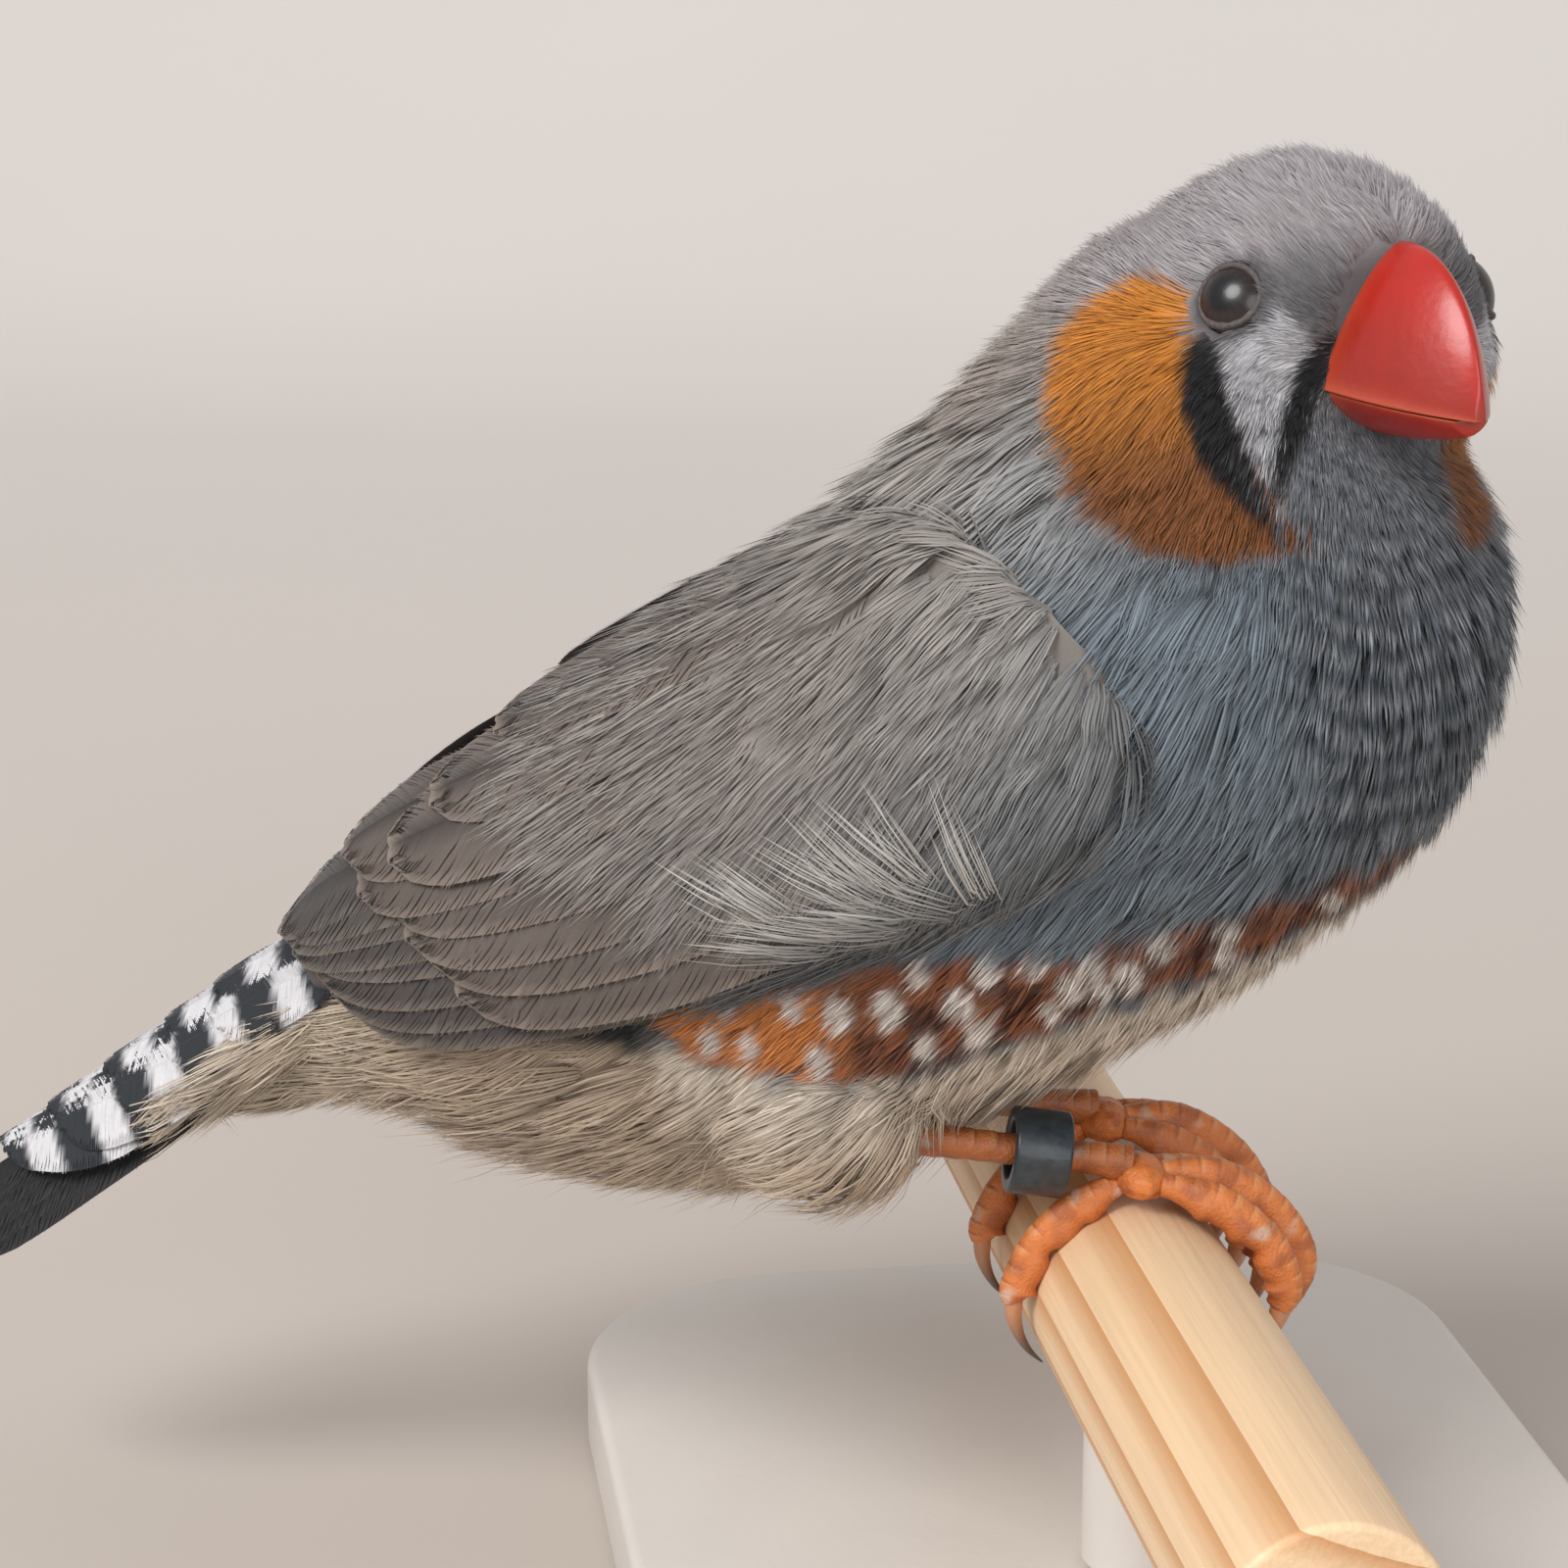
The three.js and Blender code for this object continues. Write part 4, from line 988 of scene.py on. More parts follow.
def near_opening(p):
    """Bare places: the eyes and the bill."""
    h = to_head(p)
    bare = (h[:, 0] > 6.8) & (np.hypot(h[:, 1] / 3.2, (h[:, 2] - 1.3) / 3.7) < 0.86)
    for *_, on_skin in EYES.values():
        bare |= length_of(h - on_skin) < 1.6
    return bare


def grow(keep, layers, aspect):
    """A bed on the skin where keep says so, for a coat so many layers deep, with sizes from the place."""
    wanted = feather_length(skin.points[skin.faces].mean(axis=1))
    roots, normals = skin.scatter(layers / (wanted * wanted * aspect))
    lie, s, angle = lie_of(roots, normals)
    chosen = keep(roots, s, angle) & ~under_wing(s, angle) & ~near_opening(roots)
    roots, normals, lie, s, angle = (v[chosen] for v in (roots, normals, lie, s, angle))
    long = feather_length(roots) * chance.uniform(0.8, 1.2, len(roots))
    lie = unit(lie + 0.12 * chance.normal(0, 1, (len(roots), 1)) * np.cross(normals, lie))
    return roots, normals, lie, long, skin_map(roots, s, angle)


def head_part(p, s, angle):
    return head_share(to_head(p)) > 0.5


def coat_rise(p):
    return coat_depth(p) * chance.uniform(0.7, 1.08, len(p))


def tips_of(bed):
    roots, normals, lie, long, uv = bed
    return roots + lie * long[:, None]


# %% Head feathers
FEATHER_ASPECT = 0.36
bed = grow(head_part, 15.0, FEATHER_ASPECT)
lay_tufts("head_feathers", skin, bed, FEATHER_ASPECT, coat_rise(tips_of(bed)), 8, HEAD_LOOK, thick=0.06,
          root_down_and_shade=0.85, split=2)
print("head tufts", len(bed[0]))

# %% Body feathers
TAIL_ROOT = {"x": -42.4, "z": 10.2, "slope": 0.73, "from": -37.5}


def body_part(p, s, angle):
    """All but the head, and but the rump's end, where the tail's own feathers begin."""
    over_tail = p[:, 2] > TAIL_ROOT["z"] + TAIL_ROOT["slope"] * (p[:, 0] - TAIL_ROOT["x"])
    return ~head_part(p, s, angle) & ~(over_tail & (p[:, 0] < TAIL_ROOT["from"]))


bed = grow(body_part, 9.0, FEATHER_ASPECT)
lay_tufts("body_feathers", dressed, bed, FEATHER_ASPECT, coat_rise(tips_of(bed)), 15, BODY_LOOK, thick=0.1,
          root_down_and_shade=0.85, split=3)
print("body tufts", len(bed[0]))


# %% [markdown]
# Under the belly the down hangs loose in a ragged fringe. It is made of the same tufts, longer, looser and
# drooping by different amounts.

# %% The belly's fringe
def hangs(p, s, angle):
    return (np.abs(angle - 180) < 62) & (s > 0.18) & (s < 0.5)


FRINGE = {"layers": 1.6, "spacing": 0.3, "aspect": 0.4, "stands_off": 1.1}
roots, normals, lie, long, uv = grow(hangs, FRINGE["layers"], FRINGE["spacing"])
bed = roots, normals, lie, long * chance.uniform(1.0, 1.35, len(roots)), uv
lay_tufts("belly_fringe", skin, bed, FRINGE["aspect"], coat_rise(roots) * FRINGE["stands_off"], 9, PALE_LOOK,
          fluff=0.3, droop=chance.uniform(0.2, 1.3, len(roots)))
print("fringe tufts", len(roots))

# %% [markdown]
# A stiff feather is a vane: a shaft with barbs on both sides, slanting forward and held together in one
# smooth sheet, with a notch here and there where they have come apart. Each barb is one strip again, but
# rooted along the shaft. A thin sheet just below closes what the barbs leave open. A feather only needs to
# know how its own millimetres map to places on the bird, so the same helper serves the wings, the bars and
# the tail.

# %% Vanes of barbs on a shaft
outline_of_vane = keyed(
    (0, 0.45), (0.12, 0.75), (0.35, 0.98), (0.7, 1.0), (0.86, 0.86), (0.95, 0.58), (1, 0.22),
)
VANE_BARB_AT = np.array([0.0, 0.4, 0.75, 1.0])
SHEET = {"rows": 22, "columns": 7, "share": 0.95, "below": -0.05}
SHAFT = {"rows": 26, "half": 0.13, "high": 0.1, "below": -0.02}
CURL = 0.05


def vane_feather(spot, half, shade_of, cell, barbs=70, slant=1.25, splits=3):
    """Points, triangles, colours and map of one feather. spot(t, across, height) gives places in mm."""
    t_line = np.linspace(0, 1, 30)
    middle = spot(t_line, 0 * t_line, 0 * t_line)
    long = length_of(np.diff(middle, axis=0)).sum()
    points, faces, shades, maps = [], [], [], []

    def keep(new_points, new_faces, t, across):
        faces.append(new_faces + sum(len(p) for p in points))
        points.append(new_points.reshape(-1, 3))
        t, across = (np.broadcast_to(v, new_points.shape[:-1]).ravel() for v in (t, across))
        shades.append(shade_of(t, across / half, points[-1]))
        in_cell = np.stack([0.5 + 0.45 * across / half, 0.05 + 0.9 * t], -1)
        maps.append(np.array(cell[:2]) + cell[2] * in_cell)

    t, across = grid(np.linspace(0.02, 0.985, SHEET["rows"]), np.linspace(-1, 1, SHEET["columns"]))
    across = across * half * outline_of_vane(t) * SHEET["share"]
    sheet = spot(t, across, SHEET["below"] - CURL * (across / half) ** 2)
    keep(sheet, triangles(grid_faces(SHEET["rows"], SHEET["columns"])), t, across)
    t, k = grid(np.linspace(0, 0.97, SHAFT["rows"]), np.array([-1, 0, 1]))
    shaft = spot(t, k * SHAFT["half"] * (1 - 0.8 * t), SHAFT["high"] * (1 - np.abs(k)) + SHAFT["below"])
    keep(shaft, triangles(grid_faces(SHAFT["rows"], 3)), t, k * 1e-3)
    gaps = chance.uniform(0.3, 0.95, (2, splits))
    root = np.linspace(0.05, 0.985, barbs)
    for row, side in enumerate((-1, 1)):
        parted = np.exp(-((root[:, None] - gaps[row]) / 0.012) ** 2).sum(axis=1)
        reach = slant * half * outline_of_vane(root) / long * (1 + chance.normal(0, 0.04, barbs))
        reach = reach * (1 - 0.3 * parted)
        t = root[:, None] + reach[:, None] * VANE_BARB_AT**1.2
        t = np.minimum(t, 1.0 - 0.004 * chance.random((barbs, 1)))
        across = side * half * outline_of_vane(t) * VANE_BARB_AT * (1 + chance.normal(0, 0.015, (barbs, 1)))
        height = -CURL * (across / half) ** 2 + chance.normal(0, 0.012, (barbs, 1)) + 0.03
        wide = (root[1] - root[0]) * np.array([0.75, 0.8, 0.6])
        low = spot(t[:, :3] - wide, across[:, :3], height[:, :3])
        high = spot(np.minimum(t[:, :3] + wide, 1.0), across[:, :3], height[:, :3] + 0.03)
        both = np.stack([low, high], 2).reshape(barbs, 6, 3)
        end = spot(t[:, 3:], across[:, 3:], height[:, 3:])
        keep(np.concatenate([both, end], 1), barb_strips(barbs), t[:, BARB_CORNERS], across[:, BARB_CORNERS])
    return np.vstack(points), np.vstack(faces), np.vstack(shades), np.vstack(maps)


def lay_vanes(name, feathers, look, node, mirror=False):
    points, faces, shades, maps = zip(*feathers)
    points, faces = together(*zip(points, faces))
    if mirror:
        points, faces = mirrored(points, faces)
    add_piece(name, (points, faces, np.vstack(shades), np.vstack(maps)), look, node)


def cells(count):
    """Square cells of a map, one for each feather, in rows: its corner and its side."""
    rows = math.ceil(math.sqrt(count))
    size = 1 / rows
    return [((k % rows) * size, (k // rows) * size, size * 0.98) for k in range(count)]


# %% [markdown]
# The wing's long feathers lie in tiers. The primaries make the long lower edge and the tips, the
# secondaries lie over them, three broad tertials cover both from above, and coverts close their roots. Each
# is grey-brown with a darker middle, and a thin buff edge draws its outline, which is what reads as layers
# in the photo.

# %% Wing colours
WING_BROWN = paint(98, 88, 82)
WING_DARK = paint(66, 60, 56)
WING_PALE = paint(130, 122, 116)
WING_EDGE = paint(146, 132, 120)
PRIMARY_DARK = paint(62, 58, 56)


def vane_shade(ground, middle, edge, edge_at, edge_share):
    """A vane's colours: its ground, darker along the middle and the shaft, and a thin edge."""
    def shade_of(t, u, places):
        tone = 1 + 0.07 * chance.normal(0, 1) + 0.05 * wobble(places, 3.0)
        off = np.abs(u)
        colour = mix(ground * tone[:, None], middle, 0.75 * near(off, 0.45, 0.02))
        colour = mix(colour, middle * 0.8, near(off, 0.035, 0.01))
        to_edge = fade(off / np.maximum(outline_of_vane(t), 0.3), edge_at, 0.98)
        colour = mix(colour, edge, edge_share * np.maximum(to_edge, fade(t, 0.955, 0.99)))
        return colour * (1 + chance.normal(0, 0.05, len(t)))[:, None]

    return shade_of


# %% Wing feathers in their tiers
SUNK = 1.1
TILT = 0.1


def sink(t):
    """How deep a stiff feather lies in what it grows from, from its root to its tip."""
    return SUNK * (1 - t) ** 2


def wing_spot(start, stop, over):
    """How one wing feather's own millimetres map to the bird: start and stop are [share, angle]."""
    def spot(t, across, height):
        t, across, height = np.broadcast_arrays(*(np.asarray(v, float) for v in (t, across, height)))
        s = start[0] + (stop[0] - start[0]) * t
        middle = start[1] + (stop[1] - start[1]) * t
        step = length_of(trunk_at(s, middle + 1) - trunk_at(s, middle - 1)) / 2
        rise = core_rise(s, middle) + over - sink(t) + TILT * across
        return trunk_at(s, middle + across / step, rise + height)

    return spot


# A tier's feathers run from the first (lowest) to the last (highest): their roots and tips as (share, angle),
# half their width and how far they lie over the core, how much the tips stray, and the vane's own numbers
TIERS = {
    "primaries": (8, [(0.46, 84), (0.4, 52)], [(0.165, 67), (0.09, 24)], (2.35, 2.35), (-0.05, 0.4), 1.8,
                  {"barbs": 110, "slant": 1.6}),
    "secondaries": (7, [(0.52, 84), (0.5, 46)], [(0.27, 72), (0.19, 24)], (2.6, 2.6), (0.3, 0.7), 2.2,
                    {"barbs": 95, "slant": 1.3}),
    "tertials": (3, [(0.56, 52), (0.56, 34)], [(0.25, 40), (0.34, 25)], (3.2, 2.9), (0.85, 1.0), 1.0,
                 {"barbs": 90, "slant": 1.2}),
    "coverts": (6, [(0.56, 76), (0.6, 44)], [(0.42, 72), (0.44, 36)], (2.5, 2.5), (0.4, 0.5), 1.0,
                {"barbs": 70, "splits": 6}),
}
TIER_SHADES = {
    "primaries": vane_shade(PRIMARY_DARK * 1.35, PRIMARY_DARK, WING_EDGE * 0.8, 0.88, 0.6),
    "secondaries": vane_shade(WING_BROWN * 0.86, WING_DARK * 0.9, WING_EDGE, 0.9, 0.5),
    "tertials": vane_shade(WING_BROWN * 1.05, WING_DARK * 1.05, WING_EDGE, 0.92, 0.6),
    "coverts": vane_shade(WING_PALE, WING_BROWN, WING_EDGE, 0.85, 0.35),
}
wing_cells = cells(sum(tier[0] for tier in TIERS.values()))
wing_feathers = []
for tier_name, (count, roots, tips, half, over, stray, vane) in TIERS.items():
    for k in range(count):
        begin, end, wide, height = (np.array(a) + (np.array(b) - a) * (k / (count - 1))
                                    for a, b in (roots, tips, half, over))
        end = end + stray * np.array([0.005, 0.9]) * chance.normal(0, 0.6, 2)
        cell, spot = wing_cells[len(wing_feathers)], wing_spot(begin, end, height)
        wing_feathers.append(vane_feather(spot, wide, TIER_SHADES[tier_name], cell, **vane))
for name, mirror in (("right", False), ("left", True)):
    lay_vanes(f"wing_feathers_{name}", wing_feathers, WING_LOOK, f"wing_{name}", mirror)
print("feathers on each wing", len(wing_feathers))


def wing_core_in_shade(places):
    # The wing's colours, dark behind and paler in front, painted darker as shade in the gaps between the
    # feathers, with a random unevenness.
    colour = mix(WING_BROWN * 0.6, WING_PALE * 0.8, fade(places[..., 0], -16, -6))
    return colour * (1 + 0.12 * wobble(places, 4.0))[..., None]


one_sheet = wing_map(wing_s, wing_angle)
both_sheets = np.concatenate([one_sheet, one_sheet[:, ::-1]], 1)
for name, (points, faces) in (("right", (wing_points, wing_faces)), ("left", (left_points, left_faces))):
    shape = points, faces, wing_core_in_shade(points), both_sheets
    add_piece(f"wing_{name}_under_its_feathers", shape, WING_LOOK, f"wing_{name}")

# %% [markdown]
# The front half of the folded wing has no crisp edges in the photo. Long silky scapulars and small coverts
# lie over it like combed hair, so they are tufts again, larger and finer, rooted on the wing's own shell
# and running back and slightly down. Tufts of the body flow over the wing's front and upper edge, and a few
# long wispy plumes lie across its lower edge on the flank.

# %% Scapulars and small coverts
SHOULDER_PALE = paint(162, 155, 148)
COVERT_GREY = paint(112, 114, 115)
MIRROR = {"right": np.ones(3), "left": np.array([1, -1, 1])}
SILK = {"to_mm2": 1.7, "back": 0.425, "above": 0.05, "angle": 130, "aspect": 0.32}


def silk_colour(places):
    x, y, z = places[..., 0], np.abs(places[..., 1]), places[..., 2]
    colour = mix(COVERT_GREY, SHOULDER_PALE, fade(z + 0.75 * y - 0.6 * x, 38, 54))
    colour = mix(colour, WING_PALE, 0.7 * fade(-x, 2, 14))
    return colour * (1 + 0.09 * wobble(places, 3.2) + 0.06 * wobble(places, 1.1, 2.0))[..., None]


roots, normals = wing_outer["right"].scatter(SILK["to_mm2"])
s, angle, lie = on_trunk(roots)
above = length_of(roots - trunk_at(s, angle))
chosen = (s > SILK["back"] + 0.03 * np.sin(angle / 9.0)) & (above > SILK["above"]) & (angle < SILK["angle"])
roots, normals, lie, s, angle = (v[chosen] for v in (roots, normals, lie, s, angle))
down = np.cross(lie, normals)
down = down * np.sign(-down[:, 2:])
downward = 0.05 + 0.2 * fade(angle, 20, 70)
lie = flattened(unit(lie + down * downward[:, None] + 0.07 * chance.normal(0, 1, lie.shape)), normals)
long = (4.4 + 3.0 * fade(0.66 - s, 0.0, 0.14)) * chance.uniform(0.8, 1.2, len(s))
rise = 1.3 + 0.5 * chance.random(len(s)) + 0.4 * fade(-s, -0.56, -0.46)
for name, flip in MIRROR.items():
    bed = roots * flip, normals * flip, lie * flip, long, wing_map(s, angle)
    lay_tufts(f"silk_{name}", wing_outer[name], bed, SILK["aspect"], rise, 12, WING_LOOK, colour=silk_colour,
              thick=0.11, fluff=0.08, root_down_and_shade=0.78)
print("silky tufts on each wing", len(roots))

# %% Feathers that flow over the wing's edges
EDGE_TO_MM2 = 1.5
EDGE_ASPECT = 0.34
MANTLE_PART = {"back": 0.5, "front": 0.67, "angle": 36}
BREAST_PART = {"back": 0.655, "front": 0.73, "angle": 108}


def within_part(part, s, angle):
    return (s > part["back"]) & (s < part["front"]) & (folded(angle) < part["angle"])


def edge_colour(places):
    on_mantle = fade(places[..., 2] - 0.6 * places[..., 0], 40, 46)
    return mix(coat_colour(places), SHOULDER_PALE * 0.92, on_mantle)


roots, normals = skin.scatter(EDGE_TO_MM2)
lie, s, angle = lie_of(roots, normals)
chosen = within_part(MANTLE_PART, s, angle) | within_part(BREAST_PART, s, angle)
chosen = chosen & (on_the_head(to_head(roots)) < 0.2)
roots, normals, lie, s, angle = (v[chosen] for v in (roots, normals, lie, s, angle))
lie = unit(lie + 0.1 * chance.normal(0, 1, (len(roots), 1)) * np.cross(normals, lie))
long = chance.uniform(5.5, 7.5, len(roots))
bed = roots, normals, lie, long, skin_map(roots, s, angle)
lay_tufts("wing_edge_tufts", dressed, bed, EDGE_ASPECT, chance.uniform(1.9, 2.8, len(roots)), 12, BODY_LOOK,
          colour=edge_colour, thick=0.11, root_down_and_shade=0.8)
print("tufts over the wings' edges", len(roots))

# %% Flank plumes
PLUMES = 46
PLUME_ASPECT = 0.22
PLUME_ROOT = np.array([[-2.5, -14.3, 19.2], [-10.5, -14.3, 16.6]])
PLUME_TIP = np.array([[-7.5, -17.6, 27.0], [-18.5, -17.0, 22.5]])
PLUME_WHITE = paint(196, 192, 186)
PLUME_GREY = paint(84, 86, 88)


def plume_colour(places):
    out = fade(places[..., 2] - 0.35 * (places[..., 0] + 8), 19.5, 24.5)
    return mix(PLUME_GREY, PLUME_WHITE, out)


share = chance.random(PLUMES)
roots = mix(*PLUME_ROOT, share) + 0.4 * chance.normal(0, 1, (PLUMES, 3))
tips = mix(*PLUME_TIP, share) + 0.7 * chance.normal(0, 1, (PLUMES, 3))
roots, normals = wing_outer["right"].nearest(roots)
lie = flattened(unit(tips - roots), normals)
long = chance.uniform(6.5, 9.5, PLUMES)
s, angle, _ = on_trunk(roots)
for name, flip in MIRROR.items():
    bed = roots * flip, normals * flip, lie * flip, long, skin_map(roots, s, angle)
    rise = chance.uniform(2.0, 3.4, PLUMES)
    lay_tufts(f"flank_plumes_{name}", wing_outer[name], bed, PLUME_ASPECT, rise, 16, PALE_LOOK,
              colour=plume_colour, thick=0.07, fluff=0.22, root_down_and_shade=0.8)
print("plumes on each flank", PLUMES)

# %% [markdown]
# The tail lies along an arch: higher on the ridge, its sides dropping away. Twelve dark feathers fan out
# into two rounded lobes. Over them lie the long coverts that give the bird its name: black, with broad
# white bars whose edges are wisps, each feather's bars a little ahead of or behind its neighbour's.

# %% The tail's surface
TAIL = {"at": np.array([-42.4, 0.0, 13.6]), "slope": math.radians(36), "length": 25.5}
TAIL_ALONG = np.array([-math.cos(TAIL["slope"]), 0, -math.sin(TAIL["slope"])])
TAIL_UP = np.array([-math.sin(TAIL["slope"]), 0, math.cos(TAIL["slope"])])
ARCH_ROUND = 1.7
covert_half = keyed((-5, 6.4), (0, 5.6), (6, 4.7), (12, 4.0), (17, 2.9), (19.5, 1.2))
covert_drop = keyed((-5, 3.6), (0, 4.0), (8, 3.8), (14, 3.0), (19.5, 1.0))
tail_half = keyed((-6, 4.6), (0, 4.6), (10, 4.4), (18, 4.4), (23, 3.9), (25.5, 2.4))
tail_drop = keyed((-6, 3.2), (0, 3.6), (12, 4.2), (25.5, 4.6))
tail_ridge = keyed((-6, -1.45), (19, -1.45), (25.5, -1.6))


def on_tail(u, across, level):
    """A place by millimetres along the tail, to the bird's left and up from its line."""
    return TAIL["at"] + u[..., None] * TAIL_ALONG + across[..., None] * [0, 1, 0] + level[..., None] * TAIL_UP


def arch_spot(half, drop, ridge, start, stop, over):
    """start and stop are [millimetres along the tail, share of its half width]."""
    def spot(t, across, height):
        t, across, height = np.broadcast_arrays(*(np.asarray(v, float) for v in (t, across, height)))
        u = start[0] + (stop[0] - start[0]) * t
        wide = np.maximum(half(u), 2)
        f = start[1] + (stop[1] - start[1]) * t + across / wide
        level = ridge(u) - drop(u) * np.abs(f) ** ARCH_ROUND + over - sink(t) + height
        return on_tail(u, wide * f, level)

    return spot


# %% Tail feathers
TAIL_BLACK = paint(32, 32, 33)
TAIL_EDGE = paint(78, 74, 72)
FAN = {"each": 6, "first": 0.07, "next": 0.075, "opens": 1.25, "shorter": 0.3, "lower": 0.12, "half": 1.45}
tail_shade = vane_shade(TAIL_BLACK, TAIL_BLACK * 0.8, TAIL_EDGE, 0.9, 0.4)
fan_cells = cells(2 * FAN["each"])
fan = []
for side in SIDES.values():
    for k in range(FAN["each"]):
        share = side * (FAN["first"] + FAN["next"] * k)
        stop = [TAIL["length"] - FAN["shorter"] * k + chance.uniform(-0.3, 0.3), share * FAN["opens"]]
        spot = arch_spot(tail_half, tail_drop, tail_ridge, [2.0, share], stop, -FAN["lower"] * k)
        cell = fan_cells[len(fan)]
        fan.append(vane_feather(spot, FAN["half"], tail_shade, cell, barbs=90, slant=1.5, splits=4))
lay_vanes("tail_feathers", fan, TAIL_LOOK, "tail")
print("tail feathers", len(fan))

# %% Barred coverts
BAR_BLACK = paint(40, 43, 47)
BAR_WHITE = paint(205, 202, 203)
BARS = {"first": 0.4, "every": 4.3, "white": 0.44, "soft": 0.08}


def barred(shift):
    def shade_of(t, u, places):
        along = (places - TAIL["at"]) @ TAIL_ALONG - shift + 0.25 * np.abs(u)
        off = np.abs(((along - BARS["first"]) / BARS["every"]) % 1 - 0.5) * 2
        fray = chance.normal(0, 0.03, len(t))
        begins = 1 - BARS["white"]
        white = fade(off + fray, begins - BARS["soft"], begins + BARS["soft"])
        colour = mix(BAR_BLACK, BAR_WHITE, white * (0.85 + 0.15 * chance.random(len(t))))
        return colour * (1 + chance.normal(0, 0.05, len(t)))[:, None]

    return shade_of


def covert_ridge(u):
    return np.full(u.shape, -0.15)


ROWS = [(8.5, 20.0), (5.0, 16.0), (1.0, 12.0), (-3.0, 8.0), (-5.5, 4.5)]
COLUMNS = {"apart": 0.42, "shifts": (-1.0, 0.5, -0.5, -1.2)}
columns = len(COLUMNS["shifts"])
COVERT = {
    "half": 1.75, "over": -0.25, "row_over": 0.12, "side_lower": 0.06, "side_shorter": 1.2, "closes": 0.9,
}
covert_cells = cells(len(ROWS) * columns)
coverts = []
for row, (begin, end) in enumerate(ROWS):
    for k in range(columns):
        share = COLUMNS["apart"] * (k - (columns - 1) / 2)
        tip = end - COVERT["side_shorter"] * abs(share) + chance.uniform(-0.4, 0.4)
        over = COVERT["over"] + COVERT["row_over"] * row - COVERT["side_lower"] * abs(share)
        stop = [tip, share * COVERT["closes"]]
        spot = arch_spot(covert_half, covert_drop, covert_ridge, [begin, share], stop, over)
        shade_of = barred(COLUMNS["shifts"][k] + chance.uniform(-0.15, 0.15))
        cell = covert_cells[len(coverts)]
        coverts.append(vane_feather(spot, COVERT["half"], shade_of, cell, barbs=110, slant=0.5, splits=4))
lay_vanes("barred_coverts", coverts, BARRED_LOOK, "uppertail_coverts")
print("barred coverts", len(coverts))

# %% Undertail feathers
UNDER = {
    "from": -7.0, "to": 13.4, "rows": 40, "columns": 30, "heart": -4.2, "tufts_below": -3.3, "to_mm2": 1.3,
    "aspect": 0.3,
}
under_half = keyed((-7, 4.5), (-2, 4.6), (3, 4.6), (8, 4.0), (11.5, 2.7), (13.4, 0.8))
under_tall = keyed((-7, 1.5), (-2, 1.6), (5, 1.6), (11.5, 0.8), (13.4, 0.2))
under_mid = keyed((-7, -5.0), (0, -4.3), (6, -3.8), (13.4, -4.0))
u, a = grid(np.linspace(UNDER["from"], UNDER["to"], UNDER["rows"]), circle(UNDER["columns"]))
under_points = on_tail(u, under_half(u) * np.cos(a), under_mid(u) + under_tall(u) * np.sin(a)).reshape(-1, 3)
under_faces = grid_faces(UNDER["rows"], UNDER["columns"], closed=True)
UNDER_LONG = UNDER["to"] - UNDER["from"]
under_uv = np.stack([0.02 + 0.96 * a / (2 * math.pi), 0.02 + 0.96 * (u - UNDER["from"]) / UNDER_LONG], -1)
# Painted shade: the core is the undertail's colour, darker, for the shaded gaps between its tufts.
under_shade = np.broadcast_to(UNDERTAIL * 0.7, under_points.shape)
under_shape = under_points, under_faces, under_shade, under_uv
add_piece("undertail_core", under_shape, PALE_LOOK, "undertail_coverts")


def along_tail(places):
    return (places - TAIL["at"]) @ TAIL_ALONG


undertail = Surface(under_points, triangles(under_faces))
heart_line = TAIL["at"] + along_tail(under_points)[:, None] * TAIL_ALONG + UNDER["heart"] * TAIL_UP
if ((under_points - heart_line) * undertail.normals).sum() < 0:
    undertail = Surface(under_points, undertail.faces[:, ::-1])


def undertail_colour(places):
    colour = mix(UNDERTAIL, BELLY_WHITE, 0.6 * fade(along_tail(places), 2, 12))
    return colour * (1 + 0.08 * wobble(places, 2.2))[..., None]


roots, normals = undertail.scatter(UNDER["to_mm2"])
chosen = (roots - TAIL["at"]) @ TAIL_UP < UNDER["tufts_below"]
roots, normals = roots[chosen], normals[chosen]
lie = flattened(unit(TAIL_ALONG + 0.12 * chance.normal(0, 1, roots.shape)), normals)
long = chance.uniform(4.0, 6.5, len(roots))
from_root = (along_tail(roots) - UNDER["from"]) / UNDER_LONG
uv = np.stack([0.02 + 0.9 * (roots[:, 1] + 5) / 10, 0.02 + 0.9 * from_root], -1)
bed = roots, normals, lie, long, uv
rise = 0.5 + 0.6 * chance.random(len(roots))
lay_tufts("undertail_tufts", undertail, bed, UNDER["aspect"], rise, 11, PALE_LOOK, colour=undertail_colour,
          thick=0.09, fluff=0.3, root_down_and_shade=0.75)
print("undertail tufts", len(roots))

# %% [markdown]
# The bill is two horn shells that meet along the line of the mouth. Its outline is a formula: a quarter
# ellipse from the forehead down to the tip, so a few sizes shape it. The horn is waxy: a clear coat over a
# deep orange-red with faint streaks along it. Painted shade makes its sides a deeper red and darkens the
# nostrils and the faces where the halves meet, and a painted highlight makes it paler along the cutting edge
# and round the root.

# %% The bill
BILL_RED = paint(170, 30, 8)
BILL_SHADE_RED = paint(138, 38, 24)
BILL_HIGHLIGHT = paint(214, 110, 78)
BILL_FORM = {"full": 1.9, "ridge": 0.16, "lip": 0.16, "shorter": {True: 0.1, False: 0.85}}
NOSTRIL = {"x": 8.9, "y": 2.35, "z": 3.5, "size": 0.42, "deep": 0.3}


